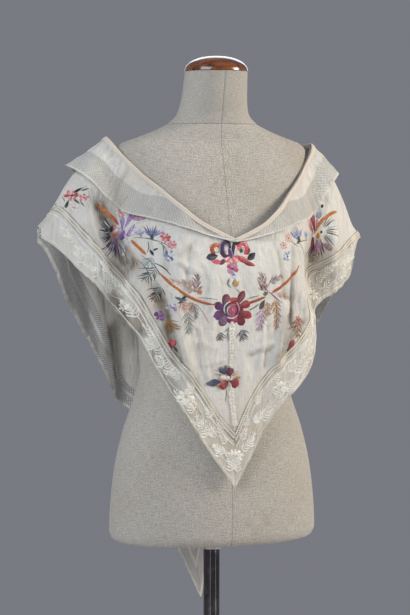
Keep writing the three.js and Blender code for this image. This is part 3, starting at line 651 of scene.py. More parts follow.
def on_cape(side, x, run, lift):
    """Points that lie a lift off the cape's surface."""
    return cape_point(side, x, run) + cape_normal(side, x, run) * np.asarray(lift)[..., None]


FRONT = dict(depth=FRONT_DEPTH, stations=FRONT_STATIONS, folds=FRONT_FOLDS + FRONT_CREASES,
             shade_and_stains=FRONT_SHADE_AND_STAINS, outward=-1)
NECK_REACH = COLLAR_FRONT[-1]["neckX"]


def neck_tilt(x):
    """The neck sits a little lower on the right, as worn."""
    return -TILT["by"] * np.clip(x / TILT["reach"], -1, 1)


def run_at_neck(x, neck_table, level=False):
    height = column(neck_table, "neckX", "neckZ", np.abs(x), level) + neck_tilt(x)
    return np.where(np.abs(x) < NECK_REACH, np.maximum(SEAM / 2, run_to(x, height)), SEAM / 2)


def slope_of(line, x, step=2):
    """How much longer than level a line runs at x."""
    return np.hypot(1, (line(x + step) - line(x - step)) / (2 * step))


def run_beside(line, x, way):
    """The run down to a seam, stopping short of it or starting past it by half its gap."""
    return np.maximum(SEAM / 2, run_to(x, line(x)) + way * SEAM * slope_of(line, x) / 2)


def reach_of(line, side):
    """Where a line comes up to the shoulder seam on one side."""
    limit = WING_END["left"] if side < 0 else WING_END["right"]
    x = np.arange(SHOULDER_FROM, limit, 0.5)
    gap = sided(RIDGE, side * x) - line(side * x)
    return float(x[np.argmax(gap <= PANEL_END)]) if np.any(gap <= PANEL_END) else limit


def inner_seam(x):
    return sided(INNER_SEAM, x)


def girth_of(side):
    """The cloth's own width at each distance from the middle, measured over its folds."""
    x = np.linspace(-GIRTH["reach"], GIRTH["reach"], GIRTH["places"])
    line = cape_point(side, x, np.full_like(x, GIRTH["run"]))
    steps = np.hypot(np.diff(line[:, 0]), np.diff(line[:, 1]))
    arc = np.concatenate([[0], np.cumsum(steps)])
    return x, arc - np.interp(0, x, arc)


def shade_and_soil_in(side, x, run):
    """Painted shade in fold bottoms, less of it far to the right where the key lamp falls, and the listed
    lines of shade and staining.
    """
    height = cape_point(side, x, run)[..., 2]
    fold_shade = np.clip(-fold_at(side["folds"], x, height) / FOLD_SHADE_DEPTH, 0, 1) ** 0.8
    far_right = np.clip((x - LESS_SHADE_RIGHT["start"]) / LESS_SHADE_RIGHT["over"], 0, 1)
    shade_kept = 1 - LESS_SHADE_RIGHT["by"] * far_right
    return np.clip(0.85 * fold_shade * shade_kept + fold_at(side["shade_and_stains"], x, height), 0, 1)


def thin_sheet(name, points, cut, material, slot, stands_for, thickness=CLOTH_THICKNESS, shade_and_soil=None):
    """A piece of cloth from a grid of points, thin, with its flat places for the weave."""
    columns, rows = points.shape[:2]
    faces = grid_faces(columns, rows)
    piece = make_piece(name, points.reshape(-1, 3), faces, material, slot, stands_for, sharp=75)
    set_map(piece, "cut", cut)
    # Painted shade and dirt on the points, which the cloth's material darkens by.
    if shade_and_soil is not None:
        layer = piece.data.attributes.new(name="shade_and_soil", type="FLOAT", domain="POINT")
        layer.data.foreach_set("value", shade_and_soil.astype(np.float32).ravel())
    body = piece.modifiers.new("thickness", "SOLIDIFY")
    body.thickness = thickness * MM
    body.offset = 0
    return piece


def net_group():
    """Drawn-thread net: a lattice of thread bundles at a pitch, with diamond holes between them."""
    tree, given, result = new_group("drawn net", ("Pitch",), ("Hole", "Relief"))
    along = parts_of(tree, given["Place"])
    wander = times(tree, soft_noise(tree, given["Place"], 120, 2), 0.0012)
    crossings = []
    for way in ("ADD", "SUBTRACT"):
        line = calc(tree, "ADD", calc(tree, way, along[0], along[1]), wander)
        count = calc(tree, "DIVIDE", line, given["Pitch"])
        wave = calc(tree, "SINE", times(tree, count, math.pi))
        crossings.append(calc(tree, "ABSOLUTE", wave))
    open_share = times(tree, crossings[0], crossings[1])
    tree.links.new(spread(tree, open_share, 0.22, 0.5), result.inputs["Hole"])
    tree.links.new(spread(tree, open_share, 0.0, 0.5, 1, 0), result.inputs["Relief"])
    return tree


drawn_net = net_group()
LAWN = dict(thread=0.00045, slub=0.9)
# The lawn's white, its painted shade, its yellow staining, and the dark of painted shade and dirt.
AGED = dict(white=(0.90, 0.868, 0.805), shade=(0.77, 0.73, 0.655), stain=(0.66, 0.53, 0.37),
            shade_and_soil=(0.18, 0.132, 0.088))


def sheer_cotton(name, cover, yellowed, bands=(), pitch=0.0042, see_through=0.8):
    """Cotton lawn. cover is how much it hides, and bands are net strips by distance from an edge."""
    material, tree, shader = new_material(name, AGED["white"], 0.85)
    place = map_place(tree, "cut")
    woven = from_group(tree, plain_weave, {"Place": place, "Thread": LAWN["thread"], "Slub": LAWN["slub"]})
    body = object_place(tree)
    patches = spread(tree, soft_noise(tree, body, 7, 5), 0.42, 0.8)
    specks = spread(tree, soft_noise(tree, body, 38, 5), 0.52, 0.8)
    aged = times(tree, calc(tree, "MULTIPLY_ADD", specks, 0.5, patches), yellowed)
    # Slubs, and painted light on the crowns of the threads over painted shade between them.
    threads = blend_colours(tree, woven["Shade"], AGED["shade"], AGED["white"])
    base = blend_colours(tree, aged, threads, AGED["stain"])
    # Painted shade in folds, hollows and grooves, with real dirt, from the mesh's attribute.
    shade_and_soil = add_node(tree, "ShaderNodeAttribute", attribute_name="shade_and_soil").outputs["Fac"]
    uneven = spread(tree, soft_noise(tree, body, 52, 5), 0.3, 0.7, 0.5, 0.95)
    base = blend_colours(tree, times(tree, shade_and_soil, uneven), base, AGED["shade_and_soil"])
    crumple = soft_noise(tree, place, 26, 5, (1.6, 0.8, 1))
    folds = soft_noise(tree, place, 13, 4, (2.4, 0.7, 1))
    creased = calc(tree, "MULTIPLY_ADD", folds, 5.0, times(tree, crumple, 3.0))
    # Painted shade along thin crease lines, which are raised in the relief as well.
    pinched = soft_noise(tree, place, 15, 3, (2.0, 0.8, 1))
    valley = calc(tree, "ABSOLUTE", calc(tree, "SUBTRACT", pinched, 0.5))
    crease_shade = spread(tree, valley, 0.0, 0.03, 0.34, 0)
    base = blend_colours(tree, crease_shade, base, AGED["shade"])
    creased = calc(tree, "MULTIPLY_ADD", valley, 10.0, creased)
    height = calc(tree, "MULTIPLY_ADD", woven["Relief"], 0.16, creased)
    solid = spread(tree, woven["Shade"], 0.0, 1.0, cover - 0.05, cover + 0.03)
    if bands:
        edge = map_place(tree, "edge")
        away = parts_of(tree, edge)[1]
        net = from_group(tree, drawn_net, {"Place": edge, "Pitch": pitch})
        inside = 0.0
        for low, high in bands:
            middle, half = (low + high) / 2, (high - low) / 2
            off = calc(tree, "ABSOLUTE", calc(tree, "SUBTRACT", away, middle))
            inside = calc(tree, "MAXIMUM", inside, spread(tree, off, half, half - 0.0006))
        holes = times(tree, inside, net["Hole"])
        solid = times(tree, solid, calc(tree, "MULTIPLY_ADD", holes, -see_through, 1.0))
        knots = times(tree, inside, net["Relief"])
        height = calc(tree, "ADD", height, times(tree, knots, 0.8))
        base = blend_colours(tree, times(tree, knots, 0.5), base, AGED["white"])
    tree.links.new(base, shader.inputs["Base Color"])
    tree.links.new(solid, shader.inputs["Alpha"])
    set_sheen(shader, 0.15, 0.4)
    add_bump(tree, shader, height, 0.85, 0.0024)
    return material


def between(x, top, foot, rows):
    """x and run of a grid of points that fills the cloth between two runs at each x."""
    run = top[:, None] + (foot - top)[:, None] * np.linspace(0, 1, rows)
    return np.repeat(x[:, None], rows, axis=1), run


def front_grid(columns, rows):
    """x and run of the front panel's points, from the neck and shoulder down to the lace."""
    reach = {side: reach_of(inner_seam, side) for side in (-1, 1)}
    x = np.linspace(-reach[-1], reach[1], columns)
    top = run_at_neck(x, COLLAR_FRONT)
    foot = np.maximum(top + PANEL_END, run_beside(inner_seam, x, -1))
    return between(x, top, foot, rows)


front_x, front_run = front_grid(**FRONT_NET)
front_points = on_cape(FRONT, front_x, front_run, np.full_like(front_x, CLOTH_LIFT))
front_girth = girth_of(FRONT)
front_cut = np.stack([np.interp(front_x, *front_girth), -front_run], axis=-1)
lawn = sheer_cotton("cotton lawn", 0.96, 0.55)
front_cloth = thin_sheet("front_cloth", front_points, front_cut, lawn, "cotton", ["front_panel"],
                         shade_and_soil=shade_and_soil_in(FRONT, front_x, front_run))

# The coloured embroidery. Garlands, bows, thistles and a rose worked on the front panel in soft
# untwisted silk, in padded satin stitch whose threads lie across each petal, leaf and stem.
SILKS = dict(
    orange=(0.60, 0.19, 0.03),
    ember=(0.42, 0.075, 0.022),
    amber=(0.52, 0.27, 0.075),
    tan=(0.44, 0.30, 0.16),
    brown=(0.17, 0.09, 0.05),
    red=(0.50, 0.045, 0.05),
    rose=(0.66, 0.13, 0.16),
    peach=(0.74, 0.40, 0.28),
    blush=(0.80, 0.46, 0.44),
    magenta=(0.40, 0.05, 0.17),
    burgundy=(0.17, 0.018, 0.032),
    plum=(0.075, 0.022, 0.055),
    purple=(0.17, 0.055, 0.22),
    violet=(0.30, 0.15, 0.44),
    mauve=(0.33, 0.18, 0.33),
    lilac=(0.50, 0.38, 0.60),
    navy=(0.022, 0.022, 0.055),
    blue=(0.11, 0.14, 0.36),
    slate=(0.16, 0.19, 0.25),
    sky=(0.52, 0.62, 0.74),
    black=(0.016, 0.015, 0.018),
    bottle=(0.045, 0.075, 0.05),
    green=(0.14, 0.24, 0.10),
    sage=(0.30, 0.33, 0.24),
    cream=(0.80, 0.75, 0.64),
    white=(0.86, 0.85, 0.82),
    satin=(0.87, 0.845, 0.77),
    stain=(0.62, 0.52, 0.38),
)
STITCH = dict(lift=0.75, high=1.1, across=5, thread=0.0006, slant=0.35, uneven=0.10)
OUTLINES = dict(
    leaf=lambda t: np.sin(np.pi * t ** 0.85) ** 0.8,
    petal=lambda t: np.sin(np.pi * np.clip(t, 0.02, 1) ** 1.6) ** 0.55,
    round=lambda t: np.sqrt(np.clip(1 - (2 * t - 1) ** 2, 0, 1)),
    stem=lambda t: 0.55 + 0.45 * np.sin(np.pi * t),
    baton=lambda t: np.minimum(1, 0.45 + 1.6 * np.sin(np.pi * t) * (1 - 0.35 * t)),
)


def bent_line(x0, z0, x1, z1, bend=0.0, count=9):
    """Places along a line between two points, bowed to its left by a share of its length."""
    t = np.linspace(0, 1, count)
    bow = 4 * bend * t * (1 - t)
    return x0 + (x1 - x0) * t - (z1 - z0) * bow, z0 + (z1 - z0) * t + (x1 - x0) * bow


def patch(line, wide, dye, tip=None, outline="leaf", high=1.0):
    """One patch of satin stitch along a line, its silk changing to a second one at its tip."""
    return dict(line=line, wide=wide, dye=dye, tip=tip or dye, outline=outline, high=high)


def petal_at(x, z, long, wide, turn, dye, tip=None, outline="leaf", high=1.0):
    """A patch about its own middle, turned by degrees from level."""
    dx, dz = long / 2 * math.cos(math.radians(turn)), long / 2 * math.sin(math.radians(turn))
    return patch(bent_line(x - dx, z - dz, x + dx, z + dz), wide, dye, tip, outline, high)


def ray(x, z, near, far, angle, bend):
    """A line that leaves a middle at an angle, from one distance to another."""
    c, s = math.cos(angle), math.sin(angle)
    return bent_line(x + near * c, z + near * s, x + far * c, z + far * s, bend, 7)


def nth_dye(dyes, k):
    return dyes[k % len(dyes)]


def stem_line(x0, z0, x1, z1, dye, bend=0.08, wide=1.5, tip=None):
    return patch(bent_line(x0, z0, x1, z1, bend, 15), wide, dye, tip, "stem", 0.6)


def spray(x0, z0, x1, z1, pairs, long, wide, dyes, stem="sage", bend=0.06, open_by=44, loose=0.36):
    """A stem with leaflets in pairs that grow smaller to a last one at its tip."""
    x, z = bent_line(x0, z0, x1, z1, bend, 15)
    rows = [patch((x, z), 1.2, stem, None, "stem", 0.5)]
    heading = math.degrees(math.atan2(z1 - z0, x1 - x0))
    for k in range(pairs):
        share = (k + 0.7) / (pairs + 0.2)
        foot_x, foot_z = [np.interp(share, np.linspace(0, 1, 15), part) for part in (x, z)]
        for way in (-1, 1):
            size = long * (1 - 0.5 * share) * (1 + loose * math.sin(2.4 * k + 1.9 * way + x0))
            turn = math.radians(heading + way * (open_by + 30 * loose * math.sin(1.7 * k + way)))
            leaflet = ray(foot_x, foot_z, 0, size, turn, 0.1 * way)
            leaf_wide = wide * (1 - 0.25 * share)
            rows.append(patch(leaflet, leaf_wide, nth_dye(dyes, k), nth_dye(dyes, k + 1)))
    rows.append(petal_at(x1, z1, long * 0.8, wide * 0.8, heading, dyes[0]))
    return rows


def blossom(x, z, radius, petals, dyes, eye, turn=0.0, full=1.0):
    """Petals that open from a middle, and the round eye that covers their feet."""
    rows = []
    for k in range(petals):
        reach = radius * (1 + 0.1 * math.sin(2.1 * k + x))
        line = ray(x, z, 0.12 * radius, reach, math.radians(turn + 360 * k / petals), 0.12)
        wide = full * radius * 4.8 / max(petals, 4) * (1 + 0.15 * math.cos(3.3 * k + z))
        rows.append(patch(line, wide, nth_dye(dyes, k), nth_dye(dyes, k + 1), "petal"))
    rows.append(petal_at(x, z, radius * 0.42, radius * 0.36, turn, eye, None, "round", 1.4))
    return rows


def thistle(x, z, heading, size, dyes, cup="bottle"):
    """A scaly cup with a brush of thin strokes above it."""
    rows = []
    for k in range(9):
        reach = size * (0.85 + 0.15 * math.cos(1.9 * k))
        line = ray(x, z, 0, reach, math.radians(heading + (k - 4) * 13), 0.04 * (k - 4) / 4)
        rows.append(patch(line, size * 0.17, nth_dye(dyes, k), nth_dye(dyes, k + 1)))
    rows.append(petal_at(x, z, size * 0.5, size * 0.42, heading, cup, None, "round", 1.5))
    return rows


def ring_of(x, z, half_wide, half_high, start, end, wide, dye, tip=None, high=1.0):
    """A band of satin stitch that runs round part of an oval."""
    turn = np.radians(np.linspace(start, end, 17))
    return patch((x + half_wide * np.cos(turn), z + half_high * np.sin(turn)), wide, dye, tip, "baton", high)


def brush(x, z, near, far, start, end, strokes, wide, dyes):
    """Separate strokes that fan out from a middle, with cloth between them."""
    rows = []
    for k in range(strokes):
        angle = math.radians(start + (end - start) * k / (strokes - 1))
        line = ray(x, z, near, far * (0.9 + 0.1 * math.cos(2.3 * k)), angle, 0.05)
        rows.append(patch(line, wide, nth_dye(dyes, k)))
    return rows


def thread_group():
    """Satin stitch: threads side by side across a patch, some a little proud or lighter, each painted lighter
    on its crown.
    """
    tree, given, result = new_group("satin thread", ("Thread", "Slant"), ("Relief", "Shade"))
    parts = parts_of(tree, given["Place"])
    slanted = calc(tree, "MULTIPLY_ADD", calc(tree, "ABSOLUTE", parts[1]), given["Slant"], parts[0])
    count = calc(tree, "DIVIDE", slanted, given["Thread"])
    wave = calc(tree, "ABSOLUTE", calc(tree, "SINE", times(tree, count, math.pi)))
    each = add_node(tree, "ShaderNodeCombineXYZ", {0: calc(tree, "FLOOR", count)}).outputs[0]
    lot = add_node(tree, "ShaderNodeTexWhiteNoise", {"Vector": each}, noise_dimensions="3D").outputs[0]
    tone_and_crown_shade = calc(tree, "MULTIPLY_ADD", lot, 0.5, times(tree, wave, 0.5))
    tree.links.new(calc(tree, "MULTIPLY_ADD", lot, 0.4, wave), result.inputs["Relief"])
    tree.links.new(tone_and_crown_shade, result.inputs["Shade"])
    return tree


satin_thread = thread_group()


def satin_silk(name, rough, sheen, thread, streaked):
    """Floss that takes its dye from the mesh, with painted shade between the threads and painted light on
    their tops.
    """
    material, tree, shader = new_material(name, SILKS["cream"], rough)
    place = map_place(tree, "cut")
    laid = from_group(tree, satin_thread, {"Place": place, "Thread": thread, "Slant": STITCH["slant"]})
    dye = add_node(tree, "ShaderNodeAttribute", attribute_name="dye").outputs["Color"]
    faded = soft_noise(tree, object_place(tree), 60, 3)
    streaks = spread(tree, soft_noise(tree, place, 430, 2, (1, 0.16, 1)), 0.32, 0.68,
                     1.0 - streaked, 1.0 + 0.5 * streaked)
    tone = calc(tree, "MULTIPLY_ADD", laid["Shade"], 0.35, spread(tree, faded, 0.3, 0.7, 0.72, 0.92))
    tone = times(tree, tone, streaks)
    dyed = blend_colours(tree, 1.0, dye, grey_of(tree, tone), "MULTIPLY")
    glossy = spread(tree, laid["Relief"], 0, 1.4, rough + 0.15, rough - 0.05)
    tree.links.new(dyed, shader.inputs["Base Color"])
    tree.links.new(glossy, shader.inputs["Roughness"])
    set_sheen(shader, sheen, 0.3)
    add_bump(tree, shader, laid["Relief"], 0.6, 0.0003)
    return material


def stitched(name, rows, material, slot, lift):
    """One piece of all the patches in a list, laid on the front of the cape and crowned."""
    points, faces, cuts, dyes = [], [], [], []
    uneven = np.random.default_rng(7)
    base = 0
    for count in sorted({len(row["line"][0]) for row in rows}):
        same = [row for row in rows if len(row["line"][0]) == count]
        x = np.array([row["line"][0] for row in same])
        z = np.array([row["line"][1] for row in same])
        wide = np.array([row["wide"] for row in same])[:, None]
        high = np.array([row["high"] for row in same])[:, None, None] * STITCH["high"]
        t = np.linspace(0, 1, count)
        half = wide / 2 * np.array([OUTLINES[row["outline"]](t) for row in same])
        spine = cape_point(FRONT, x, run_to(x, z))
        ahead = np.gradient(spine, axis=1)
        aside = np.cross(cape_normal(FRONT, x, run_to(x, z)), ahead)
        aside /= np.linalg.norm(aside, axis=-1, keepdims=True)
        across = np.linspace(-1, 1, STITCH["across"])
        flat = spine[:, :, None] + aside[:, :, None] * (half[:, :, None] * across)[..., None]
        crown = high * (np.sqrt(1 - across ** 2) * (0.35 + 0.65 * (half / wide * 2)[:, :, None]) - 0.15)
        laid = on_cape(FRONT, flat[..., 0], run_to(flat[..., 0], flat[..., 2]), lift + crown)
        length = np.cumsum(np.linalg.norm(np.diff(spine, axis=1, prepend=spine[:, :1]), axis=-1), axis=1)
        start = uneven.uniform(0, 90, (len(same), 1))
        cut = np.stack(np.broadcast_arrays((length + start)[:, :, None], half[:, :, None] * across), axis=-1)
        first = np.array([SILKS[row["dye"]] for row in same])[:, None]
        last = np.array([SILKS[row["tip"]] for row in same])[:, None]
        tint = first + (last - first) * (t[:, None] ** 1.4)
        tint = tint * (1 + uneven.uniform(-STITCH["uneven"], STITCH["uneven"], (len(same), 1, 1)))
        dyes.append(np.repeat(tint[:, :, None], STITCH["across"], axis=2).reshape(-1, 3))
        points.append(laid.reshape(-1, 3))
        cuts.append(cut.reshape(-1, 2))
        size = count * STITCH["across"]
        for k in range(len(same)):
            faces += [[base + k * size + i for i in face] for face in grid_faces(count, STITCH["across"])]
        base += size * len(same)
    piece = make_piece(name, np.concatenate(points), faces, material, slot, sharp=80)
    set_map(piece, "cut", np.concatenate(cuts))
    layer = piece.data.color_attributes.new(name="dye", type="FLOAT_COLOR", domain="POINT")
    colour = np.ones((len(piece.data.vertices), 4))
    colour[:, :3] = np.clip(np.concatenate(dyes), 0, 1)
    layer.data.foreach_set("color", colour.astype(np.float32).ravel())
    return piece


silk = []

# The batons: one on each side of the rose and one through each bow. Two are in two lengths.
BATONS = table("x0 z0 x1 z1 bend wide dye tip", [
    (-115, 1203, -34, 1154, -0.11, 5.0, "orange", "ember"),
    (13, 1154, 46, 1165, 0.0, 4.6, "ember", "ember"),
    (56, 1171, 108, 1211, -0.05, 5.0, "ember", "orange"),
    (-193, 1307, -161, 1275, 0.04, 6.0, "orange", "ember"),
    (-144, 1251, -129, 1230, 0.0, 6.0, "orange", "orange"),
    (202, 1293, 162, 1259, -0.13, 6.0, "orange", "orange"),
])
for row in BATONS:
    line = bent_line(row["x0"], row["z0"], row["x1"], row["z1"], row["bend"], 23)
    silk.append(patch(line, row["wide"], row["dye"], row["tip"], "baton", 1.4))

# The neck bow, the bud below it and the rose. Each row is a patch about its own middle.
CENTRE_PATCHES = table("x z long wide turn dye tip outline high", [
    (-3, 1240, 25, 7, 82, "navy", "plum"),
    (-9, 1232, 20, 7, 100, "purple", "plum", "leaf", 1.3),
    (-6, 1233, 16, 1.8, 96, "lilac", None, "leaf", 2.2),
    (-1, 1237, 16, 1.6, 70, "cream", None, "leaf", 1.8),
    (-38, 1227, 19, 14, 12, "navy", "black"),
    (-30, 1219, 21, 9, -8, "rose", "magenta"),
    (-21, 1220, 17, 8, 35, "plum", "magenta"),
    (4, 1248, 13, 8, 30, "black", None, "leaf", 1.5),
    (9, 1236, 8, 7, 80, "bottle"),
    (17, 1228, 7, 5.5, 0, "white"),
    (25, 1227, 18, 12, 40, "black", "navy"),
    (11, 1222, 27, 11, -24, "red", "rose", "leaf", 1.3),
    (20, 1216, 21, 9, -20, "burgundy", "red"),
    (8, 1226, 18, 1.6, -30, "blush", None, "leaf", 1.9),
    (-4, 1187, 13, 9.5, 84, "tan", "amber"),
    (0, 1185, 11, 5.5, 60, "amber"),
    (-14, 1190, 11, 4, 74, "slate"),
    (-13, 1183, 10, 3.5, -40, "sage"),
    (-19, 1161, 21, 15, 66, "plum", "burgundy", "petal"),
    (-28, 1151, 21, 15, 150, "purple", "plum", "petal"),
    (-27, 1139, 25, 17, 196, "plum", "purple", "petal"),
    (-21, 1131, 23, 17, 236, "purple", "plum", "petal"),
    (5, 1163, 28, 13, 62, "burgundy", "burgundy", "petal"),
    (11, 1153, 22, 15, 20, "burgundy", "red", "petal"),
    (12, 1139, 25, 15, -18, "burgundy", "red", "petal"),
    (5, 1131, 22, 16, -60, "burgundy", "burgundy", "petal"),
    (-6, 1160, 24, 12, 8, "red", "burgundy", "leaf", 1.2),
    (-7, 1131, 24, 15, -4, "burgundy", "magenta", "leaf", 1.2),
    (-8, 1146, 38, 33, 0, "plum", "burgundy", "round", 0.4),
    (-8, 1146, 27, 25, 0, "mauve", "magenta", "round", 1.2),
    (-6, 1150, 15, 9, 30, "red", "rose", "leaf", 2.0),
    (-11, 1143, 13, 8, 210, "rose", "burgundy", "leaf", 2.0),
    (-7, 1146, 13, 10, 75, "rose", "red", "round", 2.6),
    (-8, 1147, 8, 4, 100, "blush", "rose", "leaf", 3.2),
])
silk += [petal_at(**row) for row in CENTRE_PATCHES]
RINGS = table("x z half_wide half_high start end wide dye tip high", [
    (-30, 1238, 6.5, 7, 245, 10, 9.0, "ember", "orange"),
    (-31, 1239, 8, 8.5, 165, 60, 2.0, "peach", "blush", 2.0),
    (-32, 1236, 5, 5, 260, 190, 4.0, "burgundy", "ember", 1.8),
    (-30, 1237, 3.5, 3.5, 0, 330, 3.0, "cream", "tan"),
    (-15, 1238, 7, 10.5, 10, 300, 9.0, "navy", "plum", 1.2),
    (-16, 1238, 9, 12.5, 70, 200, 2.6, "purple", "lilac", 2.0),
    (-14, 1237, 4.5, 8, 40, 250, 1.8, "lilac", "purple", 2.0),
    (-16, 1237, 1.2, 3, 0, 340, 2.2, "cream", "tan", 1.4),
    (12, 1239, 6.5, 8, 200, -80, 8.5, "rose", "red", 1.2),
    (13, 1237, 9, 8, 20, -70, 3.0, "burgundy", "red", 1.8),
    (12, 1239, 7.5, 9.5, 130, 20, 1.8, "blush", "white", 2.0),
    (12, 1238, 2.6, 3.5, 160, -60, 2.4, "cream", "blush", 1.6),
    (-7, 1147, 14, 12, 100, 215, 2.4, "cream", "white", 2.0),
    (-9, 1144, 12, 11, 235, 330, 2.2, "white", "blush", 2.0),
    (-8, 1147, 11, 13, -10, 58, 1.8, "blush", "cream", 2.0),
    (-9, 1146, 9.5, 9, 95, 260, 3.2, "plum", "slate", 2.1),
    (-9, 1145, 7, 7.5, 120, 250, 1.6, "white", "blush", 2.8),
    (-7, 1146, 8, 8, -70, 70, 2.6, "burgundy", "plum", 2.2),
])
silk += [ring_of(**row) for row in RINGS]
silk += brush(-7, 1228, 2, 17, 205, 335, 8, 8.0, ("blush", "rose", "peach"))
silk += blossom(-7, 1209, 10, 6, ("rose", "lilac", "magenta"), "plum", 20, 1.25)
silk += blossom(-5, 1199, 6, 5, ("sky", "white"), "blue", 60, 1.2)
silk.append(stem_line(-4, 1179, 6, 1169, "slate"))

# The garland's sprigs and those at the sides, then the small flowers.
SPRAYS = table("x0 z0 x1 z1 pairs long wide dyes stem", [
    (-63, 1172, -62, 1199, 12, 11, 2.0, ("brown", "tan", "mauve")),
    (-73, 1172, -75, 1190, 9, 8, 1.6, ("tan", "blush")),
    (-78, 1187, -101, 1193, 9, 8, 0.9, ("tan", "peach"), "tan"),
    (-79, 1144, -77, 1112, 14, 13, 1.2, ("sage", "slate"), "sage"),
    (-70, 1157, -64, 1135, 11, 8, 1.2, ("slate", "sage"), "slate"),
    (-90, 1160, -82, 1147, 8, 11, 1.8, ("peach", "blush"), "tan"),
    (-74, 1160, -72, 1144, 8, 8, 1.5, ("peach", "tan"), "tan"),
    (45, 1173, 40, 1199, 11, 13, 2.1, ("mauve", "tan", "brown")),
    (40, 1147, 34, 1115, 14, 13, 1.6, ("lilac", "mauve", "blush"), "mauve"),
    (47, 1157, 50, 1137, 9, 11, 1.9, ("peach", "tan"), "tan"),
    (61, 1160, 64, 1116, 16, 11, 1.9, ("amber", "tan", "orange"), "brown"),
    (53, 1186, 74, 1196, 9, 8, 1.2, ("magenta", "sage"), "sage"),
    (66, 1170, 88, 1160, 9, 8, 1.2, ("tan", "peach"), "tan"),
    (-106, 1130, -96, 1116, 9, 13, 1.8, ("amber", "brown"), "brown"),
    (101, 1131, 103, 1102, 12, 13, 1.6, ("amber", "brown", "ember"), "brown"),
    (-28, 1112, -26, 1102, 7, 11, 1.6, ("brown", "slate"), "slate"),
    (-11, 1122, -12, 1102, 9, 11, 1.6, ("sage", "slate"), "sage"),
    (7, 1116, 10, 1101, 7, 13, 1.9, ("slate", "brown"), "slate"),
    (-118, 1212, -133, 1192, 9, 15, 1.9, ("bottle", "slate"), "black"),
    (-112, 1182, -124, 1162, 9, 15, 2.1, ("bottle", "navy"), "black"),
    (158, 1232, 163, 1214, 9, 13, 1.6, ("sage", "tan"), "slate"),
    (-122, 1226, -130, 1214, 8, 11, 1.6, ("sage", "sky"), "slate"),
])
for row in SPRAYS:
    silk += spray(**row)
BLOSSOMS = table("x z radius petals dyes eye full", [
    (-59, 1174, 4.5, 5, ("orange", "peach"), "ember"),
    (-99, 1150, 7, 6, ("lilac", "white", "mauve"), "purple"),
    (-103, 1256, 8, 7, ("rose", "red", "blush"), "red"),
    (-95, 1245, 7, 7, ("rose", "blush"), "magenta"),
    (-101, 1228, 9, 7, ("sky", "white", "blue", "slate"), "rose"),
    (-156, 1293, 7, 6, ("blush", "white", "rose"), "rose"),
    (92, 1254, 8, 9, ("blush", "peach"), "rose", 0.6),
    (81, 1243, 7, 9, ("blush", "peach"), "rose", 0.6),
    (86, 1226, 9, 7, ("white", "sky", "slate"), "blue"),
    (-115, 1137, 8, 5, ("purple", "mauve", "purple"), "magenta"),
    (104, 1127, 7, 6, ("rose", "blush", "amber"), "plum"),
    (-226, 1320, 9, 6, ("red", "rose", "blush"), "burgundy"),
    (-211, 1317, 6.5, 5, ("rose", "blush"), "red"),
    (-224, 1301, 5.5, 5, ("blush", "white"), "sage"),
])
for row in BLOSSOMS:
    silk += blossom(**row)
